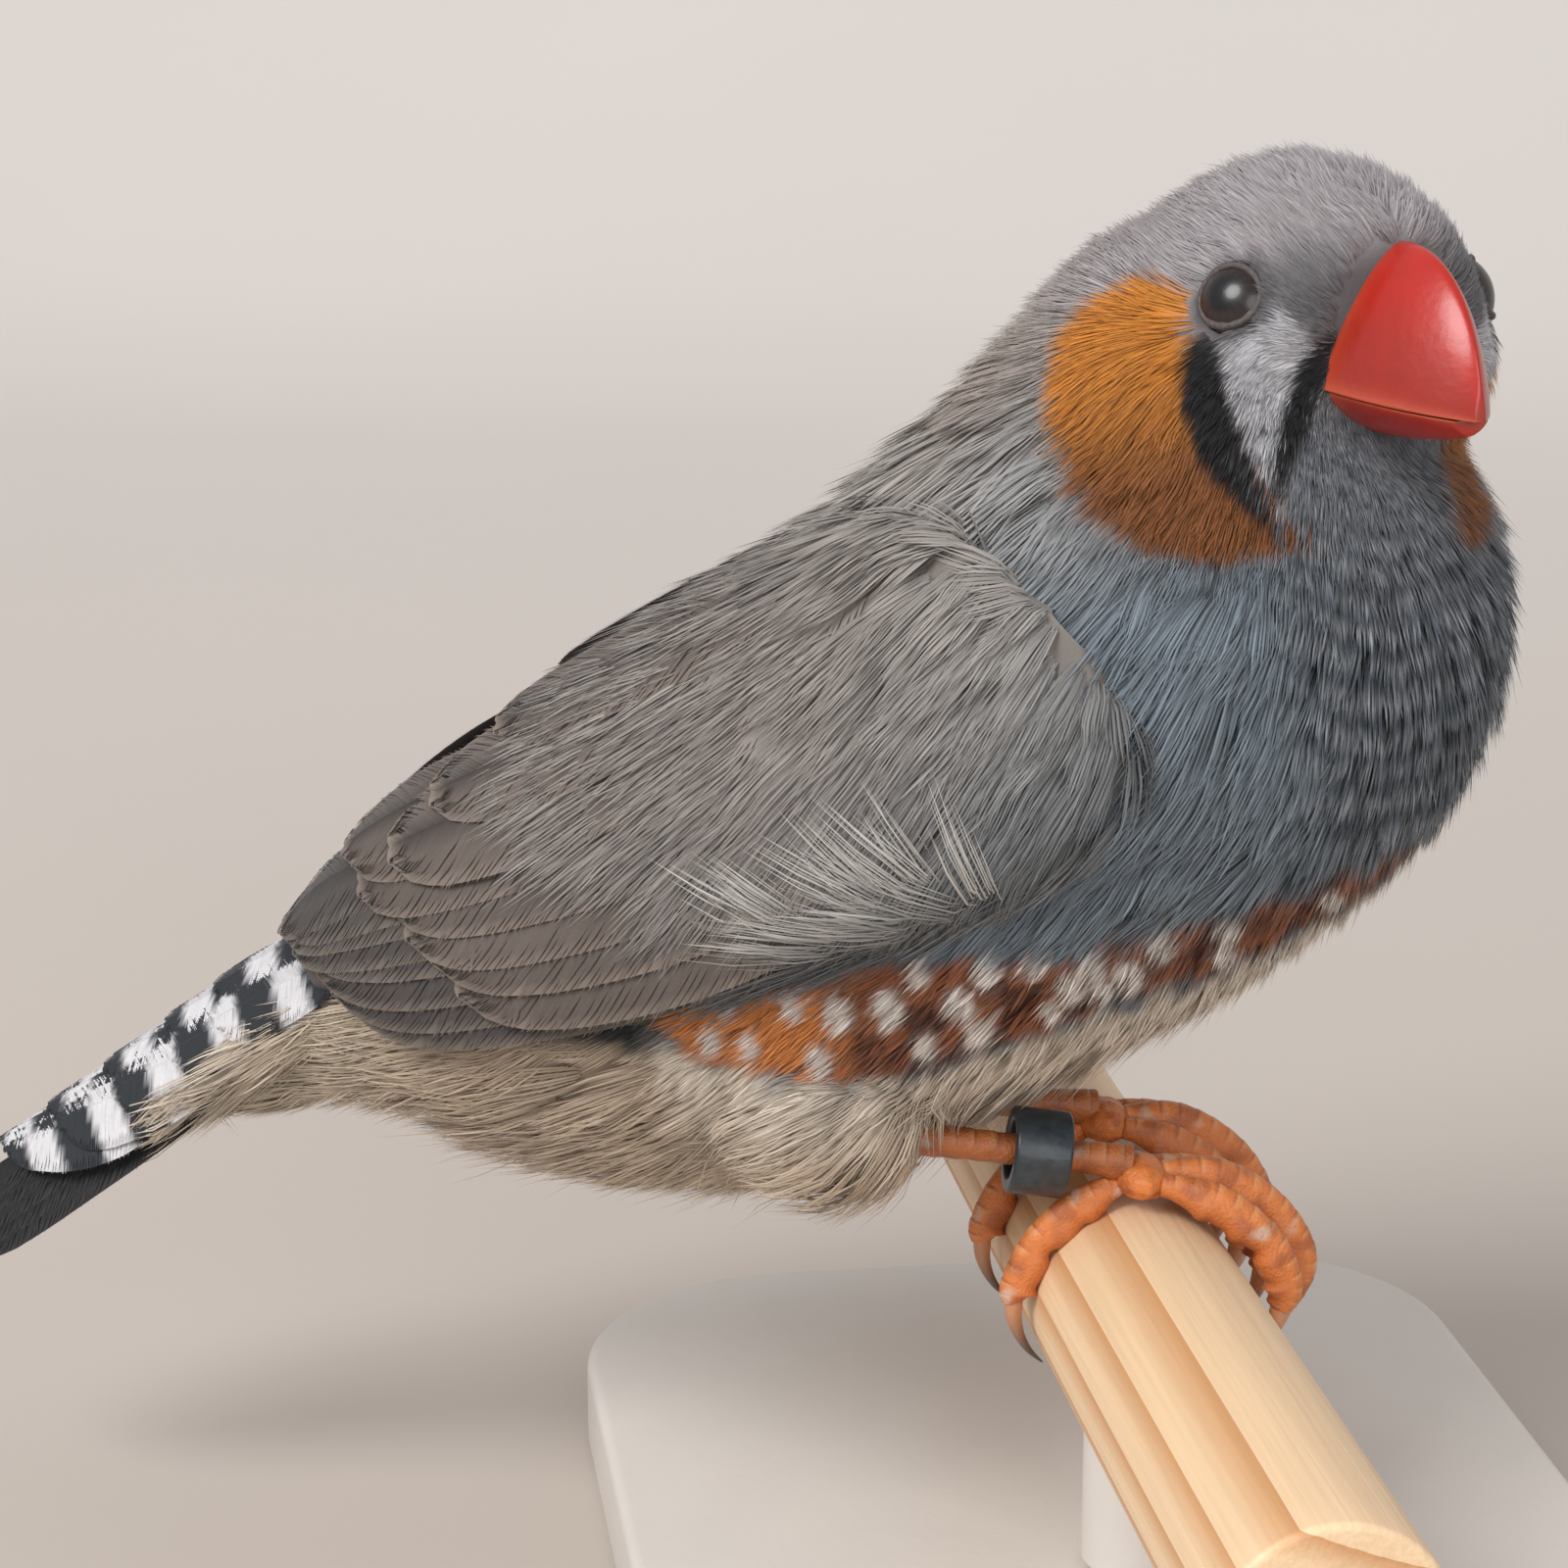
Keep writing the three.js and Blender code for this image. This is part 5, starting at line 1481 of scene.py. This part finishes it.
def bill_half(upper, rows=70, columns=49):
    """One half of the bill, closed along the line of the mouth and at both ends."""
    share = np.linspace(0, 1, rows) ** 0.8
    x = BILL["root"] + share * (BILL["tip"] - BILL_FORM["shorter"][upper] - BILL["root"])
    u = np.clip((x - BILL["culmen_at"]) / (BILL["tip"] - BILL["culmen_at"]), 0, 1)
    v = (x - BILL["root"]) / (BILL["tip"] - BILL["root"])
    mouth = BILL["gape"] + (BILL["tip_at"] - BILL["gape"]) * v
    quarter = np.sqrt(1 - u * u)
    narrows = np.maximum(0.03, 1 - v ** BILL_FORM["full"]) ** 0.8
    if upper:
        line = mouth + 0.05
        tall = np.maximum(0.12, BILL["tip_at"] + (BILL["culmen"] - BILL["tip_at"]) * quarter - line)
        half = BILL["half"] * narrows + 0.06
    else:
        line = mouth - 0.05
        tall = np.minimum(-0.15, BILL["tip_at"] - 0.1 - 0.75 * BILL["gonys"] * quarter - line)
        half = BILL["half"] * 0.95 * narrows + 0.03
    a = np.linspace(0, math.pi, columns)
    f = np.sign(np.cos(a)) * np.abs(np.cos(a)) ** 0.9
    y = half[:, None] * f
    z = line[:, None] + tall[:, None] * np.clip(1 - np.abs(f) ** 1.55, 0, 1) ** 0.72
    if upper:
        keel = np.exp(-(((a - math.pi / 2) / BILL_FORM["ridge"]) ** 2))
        z = z + 0.1 * keel * np.sin(math.pi * v)[:, None]
    points = np.stack([np.broadcast_to(x[:, None], y.shape), y, z], -1)
    lip = np.exp(-(np.minimum(a, math.pi - a) / BILL_FORM["lip"]) ** 2)
    every_row = np.ones((rows, 1))
    # Painted shade: the sides are a deeper red than the top.
    colour = mix(BILL_RED, BILL_SHADE_RED, every_row * fade(np.abs(np.cos(a)), 0.4, 0.95) * 0.7)
    # Painted highlight: paler along the cutting edge and round the root.
    colour = mix(colour, BILL_HIGHLIGHT, 0.45 * lip * every_row)
    colour = mix(colour, BILL_HIGHLIGHT, 0.35 * fade(-v[:, None], -0.35, -0.1))
    if upper:
        for side in SIDES.values():
            away = length_of(points - [NOSTRIL["x"], side * NOSTRIL["y"], NOSTRIL["z"]])
            dent = near(away, NOSTRIL["size"] * 1.3, NOSTRIL["size"] * 0.3)
            points[..., 1] -= side * NOSTRIL["deep"] * dent
            # Painted shade in each nostril's hollow.
            colour = mix(colour, BILL_SHADE_RED * 0.15, dent)
    flat_y = half[:, None] * -np.linspace(1, -1, 9)[1:-1]
    flat = np.stack(np.broadcast_arrays(x[:, None], flat_y, line[:, None]), -1)
    ring = np.concatenate([points, flat], 1)
    # Painted shade on the faces where the two halves meet.
    shades = np.concatenate([colour, np.broadcast_to(BILL_SHADE_RED * 0.5, flat.shape)], 1)
    count = ring.shape[1]
    faces = np.vstack([triangles(grid_faces(rows, count, closed=True)), *end_fans(rows, count)])
    start = 0.02 if upper else 0.52
    uv = np.stack(grid(np.linspace(start, start + 0.46, rows), np.linspace(0.02, 0.98, count)), -1)
    return from_head(ring), faces, shades, uv


def end_fans(rows, count):
    """Triangles that close the first and the last ring of a grid."""
    k = np.arange(1, count - 1)
    return [np.stack([np.full(count - 2, at), at + k, at + k + 1], 1) for at in (0, (rows - 1) * count)]


horn = coat_finish("waxy horn", [(900, 4, 0.86, 1.12)], (1800, 4, 0.12, 0.0002), Roughness=0.34,
                   Coat_Weight=0.3, Coat_Roughness=0.18, Subsurface_Weight=0.12, Subsurface_Scale=0.0015,
                   Subsurface_Radius=(1.0, 0.35, 0.2))
for name, upper in (("upper", True), ("lower", False)):
    add_piece(f"bill_{name}", bill_half(upper), (horn, "bill"), f"beak_{name}")
print("bill halves, mm long", BILL["tip"] - BILL["root"])

# %% [markdown]
# An eye is a ball sunk in the head, with a black pupil, a dark brown iris and a wet clear coat. What makes
# it look alive is the rim: a soft ring of bare skin that follows the ball, a little open in front and
# behind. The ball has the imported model's size and stays a separate piece.

# %% Eyes and lids
IRIS = paint(40, 27, 23)
PUPIL = paint(8, 7, 7)
LID = paint(76, 68, 66)


def frame_on(out):
    first = unit(np.cross(out, [0, 0, 1.0]))
    return first, np.cross(out, first)


def in_frame(out, ahead, turn, reach):
    """ahead millimetres along out and reach millimetres away from it, at an angle round it."""
    first, second = frame_on(out)
    return (ahead[..., None] * out + (reach * np.cos(turn))[..., None] * first
            + (reach * np.sin(turn))[..., None] * second)


def ball_rings(rows, columns):
    return grid(np.linspace(0.001, math.pi - 0.001, rows), circle(columns))


def round_uv(rows, columns):
    return np.stack(grid(np.linspace(0.02, 0.98, rows), np.linspace(0.02, 0.98, columns)), -1)


def closed_grid(points, shades):
    """A shape from rings of points."""
    rows, columns = points.shape[:2]
    return points, grid_faces(rows, columns, closed=True), shades, round_uv(rows, columns)


def skin_finish(name, scale, strength, **shader):
    """Bare skin, scales or claws: the painted colours in soft patches, with a finer relief."""
    return coat_finish(name, [(scale, 4, 0.85, 1.14)], (scale * 2.5, 3, strength, 0.0002), **shader)


BALL = {"rows": 40, "columns": 64, "pupil": 0.36, "iris": 0.64}
RIM = {"rows": 21, "columns": 72, "thick": 0.18, "clear": 0.12, "below": 0.1, "folded": 0.2}
wet = coat_finish("wet eye", [(5200, 2, 0.75, 1.25)], Roughness=0.3, Coat_Weight=0.22, Coat_Roughness=0.04)
bare = skin_finish("bare rim", 3000, 0.4, Roughness=0.55)
for name, (centre, out, _) in EYES.items():
    polar, turn = ball_rings(BALL["rows"], BALL["columns"])
    direction = in_frame(out, np.cos(polar), turn, np.sin(polar))
    streaks = 0.7 + 0.3 * np.cos(17 * turn + 5 * polar)
    shades = mix(PUPIL, IRIS, fade(polar, BALL["pupil"], BALL["pupil"] + 0.06) * streaks)
    shades = mix(shades, PUPIL, fade(polar, BALL["iris"], BALL["iris"] + 0.1))
    ball = closed_grid(from_head(centre + EYE["ball"] * direction), shades)
    add_piece(f"eyeball_{name}", ball, (wet, "eye"), f"eye_{name}")
    polar, turn = grid(np.linspace(0, 2 * math.pi, RIM["rows"]), circle(RIM["columns"]))
    corner = np.abs(np.cos(turn))
    opening = math.sqrt(EYE["ball"] ** 2 - EYE["sunk"] ** 2) + RIM["clear"] + 0.1 * corner**3
    thick = RIM["thick"] + 0.03 * np.sin(9 * turn) * np.sin(4 * turn + 1)
    depth = EYE["sunk"] - RIM["below"] - RIM["folded"] * corner**2 + thick * np.sin(polar)
    rim = centre + in_frame(out, depth, turn, opening + thick * np.cos(polar))
    shades = LID * (1 + 0.2 * np.sin(3 * polar) * np.cos(23 * turn))[..., None]
    add_piece(f"lid_{name}", closed_grid(from_head(rim), shades), (bare, "eye"))
print("eyes", len(EYES))

# %% [markdown]
# Legs and toes are limbs: a round section swept along a curve, swelling at the joints. Birds' legs carry a
# row of plates, so the radius rises and falls in small steps along the limb, more on top than below, where
# the toes have soft pads. The steps are real shape, not bump, as they break the outline in the photo.

# %% Limbs with scutes
LEG_ORANGE = paint(210, 120, 60)
LEG_DEEP = paint(152, 78, 42)
LEG_HIGHLIGHT = paint(232, 176, 120)
CRUST = paint(206, 186, 168)
SHANK_SHADE = 0.62
TOE_RADIUS = 0.78
SHANK_RADIUS = 0.75
scales = skin_finish("scaly leg skin", 2600, 0.5, Roughness=0.48, Coat_Weight=0.15, Coat_Roughness=0.35,
                     Subsurface_Weight=0.12, Subsurface_Scale=0.001)
LEG_LOOK = scales, "leg_scales"
UP = np.array([0, 0, 1.0])


def spun(middle, first, second, a, radius):
    """Places round a middle line, a radius away in the plane of two directions."""
    return middle + radius[..., None] * (np.cos(a)[:, None] * first + np.sin(a)[:, None] * second)

def limb(points, radii, plates, top, rows=110, columns=28, step=0.06, pad=0.0, tone=1.0):
    """A tapering tube through points, with raised plates on its top side; returns a closed grid."""
    line = [through(column) for column in np.array(points, float).T]
    swell = through(radii)
    t = np.linspace(0, 1, rows)
    middle = np.stack([curve(t) for curve in line], -1)
    ahead = unit(np.gradient(middle, axis=0))
    up = unit(np.broadcast_to(top, middle.shape) - ahead * (ahead @ top)[:, None])
    side = np.cross(ahead, up)
    a = circle(columns)
    above, below = np.clip(np.cos(a), 0, 1) ** 0.6, np.clip(-np.cos(a), 0, 1)
    cap = np.clip(np.minimum(t / 0.02, (1 - t) / 0.05), 0, 1) ** 0.5
    saw = (1 - (t * plates) % 1)[:, None]
    wrinkles = 0.5 * step * np.sin(plates * 5.3 * t)[:, None]
    radius = swell(t)[:, None] * (1 + step * (saw - 0.5) * above + wrinkles * below)
    phalanx = 0.6 + 0.4 * np.cos(2 * math.pi * 2.5 * t) ** 2
    radius = radius * (1 + pad * (phalanx * np.sin(math.pi * t) ** 0.5)[:, None] * below**1.3)
    radius = radius * np.maximum(cap, 1e-3)[:, None]
    points = spun(middle[:, None], up[:, None], side[:, None], a, radius)
    groove = fade(-saw, -0.22, -0.02) * above
    # Painted highlight: the raised front of each plate is paler on the top side.
    shades = mix(LEG_ORANGE, LEG_HIGHLIGHT, 0.45 * fade(saw, 0.5, 1.0) * above)
    # Painted shade: darker in the grooves between the plates and along the underside.
    shades = mix(shades, LEG_DEEP, np.maximum(0.75 * groove, 0.4 * below))
    shades = mix(shades, LEG_DEEP, 0.6 * fade(wobble(points, 2.1, plates), 0.0, 0.6))
    crusty = fade(wobble(points, 2.6, plates) + 0.3 * wobble(points, 1.1), 0.6, 1.0)
    shades = mix(shades, CRUST, 0.6 * crusty) * tone
    return closed_grid(points, shades)


# Each toe: its path as [across the perch, up], how far aside its root and its middle lie, its size and the
# number of its plates
TOES = {
    "hind": ([[-0.9, 6.2], [-2.9, 5.35], [-5.0, 3.5], [-5.95, 1.3], [-5.95, 0.5]], 0, 0, 0.88, 11),
    "inner": ([[0.6, 6.6], [3.4, 5.9], [5.9, 4.0], [6.9, 1.7], [6.6, 0.4]], -1.3, -2.0, 0.9, 13),
    "middle": ([[0.6, 6.6], [3.6, 6.4], [6.6, 4.6], [8.0, 1.8], [7.1, -0.6]], 0, 0, 1, 16),
    "outer": ([[0.6, 6.6], [3.3, 5.8], [5.8, 3.9], [6.8, 1.5], [6.4, 0.1]], 1.3, 2.0, 0.9, 13),
}
TOE_SWELL = np.array([0.62, 1, 0.86, 0.98, 0.74])
SHANK = {
    "path": [[-0.4, 7.1], [-2.6, 7.5], [-4.85, 7.8], [-8, 8.3], [-10.6, 8.7], [-13, 9.2]], "inward": 0.8,
    "swell": np.array([1.25, 1, 0.98, 1, 1.1, 1.3]), "plates": 15,
}
PAD = {"at": (0, 6.5), "size": (1.95, 1.25, 1.0)}
CLAW = {
    "length": 3.4, "radius": 0.5, "turn": math.radians(15), "inside_toe": 0.3, "longer": 0.15,
    "swell": np.array([1.05, 0.9, 0.62, 0.36, 0.1]),
}
CLAW_ROOT = paint(190, 132, 96)
CLAW_TIP = paint(84, 70, 62)
CLAW_LOOK = skin_finish("claw horn", 1800, 0.15, Roughness=0.35, Coat_Weight=0.3, Coat_Roughness=0.25), "claw"


def toe(foot, path, root, mid, size, plates):
    to_middle = [min(1, 2 * i / (len(path) - 1)) for i in range(len(path))]
    points = [perch_spot(foot + root + (mid - root) * f, a, z) for f, (a, z) in zip(to_middle, path)]
    top = unit(perch_spot(0, np.sign(path[-1][0]) * 0.8, 0.6))
    return limb(points, TOE_SWELL * size * TOE_RADIUS, plates, top, pad=1.15)


def claw(foot, path, mid, size, rows=50, columns=20):
    """A claw goes on from the toe's end and bends towards the perch."""
    (a0, z0), (a, z) = path[-2:]
    heading = math.atan2(z - z0, a - a0)
    bend = -math.copysign(CLAW["turn"], a)
    a, z = a - math.cos(heading) * CLAW["inside_toe"], z - math.sin(heading) * CLAW["inside_toe"]
    step = CLAW["length"] / (len(CLAW["swell"]) - 1) + CLAW["longer"]
    points = []
    for _ in CLAW["swell"]:
        points.append(perch_spot(foot + mid, a, z))
        a, z = a + math.cos(heading) * step, z + math.sin(heading) * step
        heading += bend
    top = unit(perch_spot(0, np.sign(path[-1][0]), 0.2))
    radii = CLAW["swell"] * size * CLAW["radius"]
    points, faces, _, uv = limb(points, radii, 1, top, rows, columns, step=0.0)
    t = np.repeat(np.linspace(0, 1, rows), columns)
    return points, faces, mix(CLAW_ROOT, CLAW_TIP, fade(t, 0.1, 0.8)), uv


def foot_pad(foot, seed_turn, rows=28, columns=40):
    polar, turn = ball_rings(rows, columns)
    out = np.stack([np.sin(polar) * np.cos(turn), np.sin(polar) * np.sin(turn), np.cos(polar)], -1)
    spot = out * np.array(PAD["size"]) * (1 + 0.05 * wobble(out, 0.5, seed_turn))[..., None]
    along, across, up = np.moveaxis(spot, -1, 0)
    points = perch_spot(foot + along, PAD["at"][0] + across, PAD["at"][1] + up)
    return closed_grid(points, mix(LEG_ORANGE, LEG_DEEP, fade(wobble(points, 1.2), -0.1, 0.7) * 0.6))


for name, side in SIDES.items():
    foot = FEET[name]
    inward = np.linspace(0, side * SHANK["inward"], len(SHANK["path"]))
    points = [perch_spot(foot - aside, a, z) for aside, (a, z) in zip(inward, SHANK["path"])]
    # The shank is painted darker than the toes, as shade under the body.
    shank = limb(points, SHANK["swell"] * SHANK_RADIUS, SHANK["plates"], UP, rows=160, tone=SHANK_SHADE)
    add_piece(f"scaly_shank_{name}", shank, LEG_LOOK, f"shank_{name}")
    add_piece(f"scaly_pad_{name}", foot_pad(foot, side), LEG_LOOK, f"foot_{name}")
    for which, (path, root, mid, size, plates) in TOES.items():
        toe_limb = toe(foot, path, root, mid, size, plates)
        add_piece(f"scaly_toe_{which}_{name}", toe_limb, LEG_LOOK, f"toe_{which}_{name}")
        add_piece(f"horn_claw_{which}_{name}", claw(foot, path, mid, size), CLAW_LOOK, f"claw_{which}_{name}")
print("toes and claws on each foot", len(TOES))

# %% [markdown]
# What is turned on a lathe is made as on a lathe: a profile of radius and length, spun round an axis. That
# serves the leg ring, the perch and the stand's rod. Small rounds on every edge catch the light as worn
# edges do.

# %% Turned pieces
def turned(profile, at, axis, columns=128, closed=False):
    """A shape from (length, radius) pairs spun round an axis through a place."""
    profile = np.array(profile, float)
    first = unit(np.cross(axis, UP if abs(axis[2]) < 0.9 else np.array([1.0, 0, 0])))
    middle = np.asarray(at) + profile[:, None, :1] * axis
    points = spun(middle, first, np.cross(axis, first), circle(columns), profile[:, 1:])
    faces = grid_faces(len(profile), columns, closed=True)
    if closed:
        last = (len(profile) - 1) * columns
        k = np.arange(columns)
        next_k = (k + 1) % columns
        faces = np.vstack([faces, np.stack([last + k, last + next_k, next_k, k], -1)])
    return points, faces, None, round_uv(len(profile), columns)


def rounded(length, radius, edge, steps=6, parts=24):
    """A rod's profile with rounded edges, closed by a tiny hole on its axis."""
    a = np.linspace(0, math.pi / 2, steps)
    start = [(edge - edge * math.cos(b), radius - edge + edge * math.sin(b)) for b in a]
    start = [(0, radius * k) for k in (0.001, 0.35, 0.7)] + start
    straight = [(length * k / parts, radius) for k in range(1, parts)]
    return start + straight + [(length - p, r) for p, r in reversed(start)]


# %% The leg ring
BAND = {
    "inner": 1.38, "outer": 2.05, "length": 2.7, "aside": -0.35, "across": -4.85, "up": 7.8, "edge": 0.16,
    "heading": (-0.4, -5.4, 0.8),
}


def ring_finish():
    finish, tree, principled = new_finish("dark ring plastic", Roughness=0.38, Coat_Weight=0.1)
    worn = two_tones(tree, uneven(tree, 1400, 5), paint(36, 42, 47), paint(62, 70, 75), start_at=0.35)
    tree.links.new(worn, principled.inputs["Base Color"])
    bump_from(tree, principled, uneven(tree, 4200, 3), 0.2, 0.0001)
    return finish


e = BAND["edge"]
corner = [(e - e * math.cos(a), e - e * math.sin(a)) for a in np.linspace(0, math.pi / 2, 5)]
both_corners = corner + [(BAND["length"] - p, q) for p, q in corner[::-1]]
outside = [(p, BAND["outer"] - q) for p, q in both_corners]
within = [(p, BAND["inner"] + q) for p, q in both_corners[::-1]]
band_axis = unit(perch_spot(*BAND["heading"]))
band_middle = perch_spot(FEET["right"] + BAND["aside"], BAND["across"], BAND["up"])
band = turned(outside + within, band_middle - band_axis * BAND["length"] / 2, band_axis, 96, closed=True)
add_piece("ring_on_the_leg", band, (ring_finish(), "leg_band"), "leg_band")
print("ring, mm long", BAND["length"], "and across", 2 * BAND["outer"])

# %% [markdown]
# The perch is a length of pine dowel. Pine shows soft pale wood with darker, orange lines of late wood,
# which run along the rod as nearly straight, slowly wandering stripes. Noise stretched along the rod gives
# them, in a frame turned so that one axis follows it, and the cut ends show the same stripes as arcs.

# %% Pine
PINE_PALE = paint(236, 201, 160)
PINE_LATE = paint(204, 150, 102)
HEART_AT = (0.011, 0, 0.016)


def along_the_rod(tree, place, stretch):
    """The place in a frame turned with the perch and stretched along it."""
    frame = node_of(tree, "ShaderNodeMapping", Rotation=(0, 0, PERCH["turn"]), Scale=(1, stretch, 1))
    frame.vector_type = "TEXTURE"
    tree.links.new(place, frame.inputs["Vector"])
    return frame.outputs["Vector"]


def pine_finish():
    finish, tree, principled = new_finish("pine", Roughness=0.5, Coat_Weight=0.08, Coat_Roughness=0.4)
    place = tree.nodes.new("ShaderNodeTexCoord").outputs["Object"]
    stretched = along_the_rod(tree, place, 60)
    heart = tree.nodes.new("ShaderNodeVectorMath")
    heart.inputs[1].default_value = HEART_AT
    tree.links.new(stretched, heart.inputs[0])
    wave = node_of(tree, "ShaderNodeTexWave", Scale=150, Distortion=1.6, Detail=3, Detail_Scale=1.2)
    wave.wave_type = "RINGS"
    wave.rings_direction = "Y"
    wave.wave_profile = "SAW"
    tree.links.new(heart.outputs["Vector"], wave.inputs["Vector"])
    colour = two_tones(tree, wave.outputs["Fac"], PINE_PALE, PINE_LATE, 0.45, 0.97)
    fine = uneven(tree, 3200, 3, along_the_rod(tree, place, 50))
    colour = shade(tree, colour, spread(tree, fine, 0.86, 1.12))
    colour = shade(tree, colour, spread(tree, uneven(tree, 260, 3, stretched), 0.84, 1.14))
    tree.links.new(colour, principled.inputs["Base Color"])
    bump_from(tree, principled, fine, 0.25, 0.0002)
    return finish


WORN_EDGE = 0.35
perch_long = PERCH["far"] + PERCH["near"]
dowel = turned(rounded(perch_long, PERCH["radius"], WORN_EDGE), -PERCH["far"] * ALONG, unit(ALONG))
add_piece("pine_dowel", dowel, (pine_finish(), "perch_wood"), "perch")
print("perch, mm long", perch_long)

# %% [markdown]
# The stand isn't in the photo, so it stays quiet: a flat plate with round corners and one short rod, in
# warm white satin paint. Its outline is four quarter circles. Rings of it, drawn in a little towards the
# top and the bottom, make the rounded rim.

# %% The stand
BASE = {"length": 78.0, "width": 48.0, "thick": 5.0, "corner": 12.0, "bevel": 0.6, "closed_to": 11.5}
ROD = {"radius": 2.6, "gap": 0.3, "edge": 0.2}
STAND_WHITE = paint(212, 205, 197)
QUARTER = 20


def painted_finish():
    finish, tree, principled = new_finish("satin paint", Roughness=0.42)
    white = node_of(tree, "ShaderNodeVectorMath", Vector=tuple(STAND_WHITE))
    white.operation = "SCALE"
    tree.links.new(spread(tree, uneven(tree, 160, 3), 0.94, 1.04), white.inputs["Scale"])
    tree.links.new(white.outputs["Vector"], principled.inputs["Base Color"])
    bump_from(tree, principled, uneven(tree, 1500, 2), 0.12, 0.0002)
    return finish


def plate_ring(z, inset):
    """The plate's outline at a height, drawn in by inset: a quarter circle at each corner."""
    x, y = BASE["width"] / 2 - BASE["corner"], BASE["length"] / 2 - BASE["corner"]
    radius = BASE["corner"] - inset
    ring = []
    for k, (cx, cy) in enumerate([(x, y), (-x, y), (-x, -y), (x, -y)]):
        a = math.pi / 2 * (k + np.linspace(0, 1, QUARTER))
        ring.append(np.stack([cx + radius * np.cos(a), cy + radius * np.sin(a), np.full(QUARTER, z)], -1))
    return np.vstack(ring)


bevel = [(BASE["bevel"] * (1 - math.cos(a)), BASE["bevel"] * (1 - math.sin(a)))
         for a in np.linspace(0, math.pi / 2, 6)]
levels = [(0.0, BASE["closed_to"]), *bevel]
levels += [(BASE["thick"] - z, inset) for z, inset in levels[::-1]]
plate = np.stack([plate_ring(z, inset) for z, inset in levels])
rows, columns = plate.shape[:2]
plate_points = plate.reshape(-1, 3) @ about(2, math.degrees(PERCH["turn"])).T - BIRD_AT
plate_faces = np.vstack([triangles(grid_faces(rows, columns, closed=True)), *end_fans(rows, columns)])
STAND_LOOK = painted_finish(), "stand"
plate_shape = plate_points, plate_faces, None, round_uv(rows, columns)
add_piece("painted_base", plate_shape, STAND_LOOK, "stand_base")
rod_low = BASE["thick"] + ROD["gap"]
rod_long = PERCH["height"] - PERCH["radius"] - ROD["gap"] - rod_low
rod = turned(rounded(rod_long, ROD["radius"], ROD["edge"]), np.array([0, 0, rod_low]) - BIRD_AT, UP, 64)
add_piece("painted_rod", rod, STAND_LOOK, "stand_rod")
print("rod, mm long", rod_long)

# %% The camera
CAMERA = {
    "at": np.array([17.80, -165.03, 87.78]), "lens": 86.17, "sensor": 36.0, "azimuth": math.radians(12),
    "down": math.radians(14.9), "clip": 0.005,
}
az, down = CAMERA["azimuth"], CAMERA["down"]
ahead = Vector((-math.sin(az) * math.cos(down), math.cos(az) * math.cos(down), -math.sin(down)))


def looking(way):
    return way.to_track_quat("-Z", "Y").to_euler()


camera = bpy.data.objects.new("camera", bpy.data.cameras.new("camera"))
camera.data.lens = CAMERA["lens"]
camera.data.sensor_width = CAMERA["sensor"]
camera.data.clip_start = CAMERA["clip"]
camera.location = CAMERA["at"] * MM
camera.rotation_euler = looking(ahead)
bpy.context.collection.objects.link(camera)
bpy.context.scene.camera = camera
bpy.context.scene.view_settings.view_transform = "Standard"

# %% Floor and backdrop in one sheet
ROOM = {"half": 900.0, "depth": 320.0, "round": 260.0, "high": 900.0, "pale_from": 0.4}
PAPER_LOW = paint(188, 177, 167)
PAPER_HIGH = paint(228, 221, 214)
bend = np.linspace(0, math.pi / 2, 24)
curve = [(ROOM["depth"] + ROOM["round"] * math.sin(a), ROOM["round"] * (1 - math.cos(a))) for a in bend]
profile = [(-ROOM["half"], 0.0), *curve, (ROOM["depth"] + ROOM["round"], ROOM["high"])]
sheet = np.array([[(x, y, z) for x in (-ROOM["half"], ROOM["half"])] for y, z in profile]).reshape(-1, 3)
backdrop_mesh = fill_mesh("backdrop", sheet * MM, grid_faces(len(profile), 2))
backdrop_mesh.shade_smooth()
paper, tree, principled = new_finish("matt paper", Roughness=0.9)
place = tree.nodes.new("ShaderNodeSeparateXYZ")
tree.links.new(tree.nodes.new("ShaderNodeTexCoord").outputs["Object"], place.inputs["Vector"])
# Painted light: the paper is paler further back and up the backdrop, darker at the front of the floor.
away = spread(tree, place.outputs["Y"], 0, 1, full=ROOM["pale_from"])
colour = two_tones(tree, away, PAPER_LOW, PAPER_HIGH)
colour = shade(tree, colour, spread(tree, uneven(tree, 6, 3), 0.96, 1.04))
tree.links.new(colour, principled.inputs["Base Color"])
backdrop_mesh.materials.append(paper)
backdrop = bpy.data.objects.new("backdrop", backdrop_mesh)
bpy.context.collection.objects.link(backdrop)

# %% Light
LOOKS_AT = (0, 0, 45)
LAMP_SIZE = 420
WINDOW = {"at": (-320, -420, 520), "watts": 4.2}
FRONT = {"at": (260, -520, 240), "watts": 1.2}
SKY = {"colour": (0.93, 0.95, 1.0, 1), "strength": 0.55}


def soft_light(name, at, watts):
    light = bpy.data.lights.new(name, "AREA")
    light.energy = watts
    light.size = LAMP_SIZE * MM
    light.shape = "DISK"
    lamp = bpy.data.objects.new(name, light)
    lamp.location = np.array(at) * MM
    lamp.rotation_euler = looking(Vector(LOOKS_AT) - Vector(at))
    bpy.context.collection.objects.link(lamp)


soft_light("window", **WINDOW)
soft_light("front", **FRONT)
world = bpy.data.worlds.new("room")
bpy.context.scene.world = world
world.use_nodes = True
background = world.node_tree.nodes["Background"]
background.inputs["Color"].default_value = SKY["colour"]
background.inputs["Strength"].default_value = SKY["strength"]

# %% Sizes, and the end
print("triangles", sum(made.values()), made)
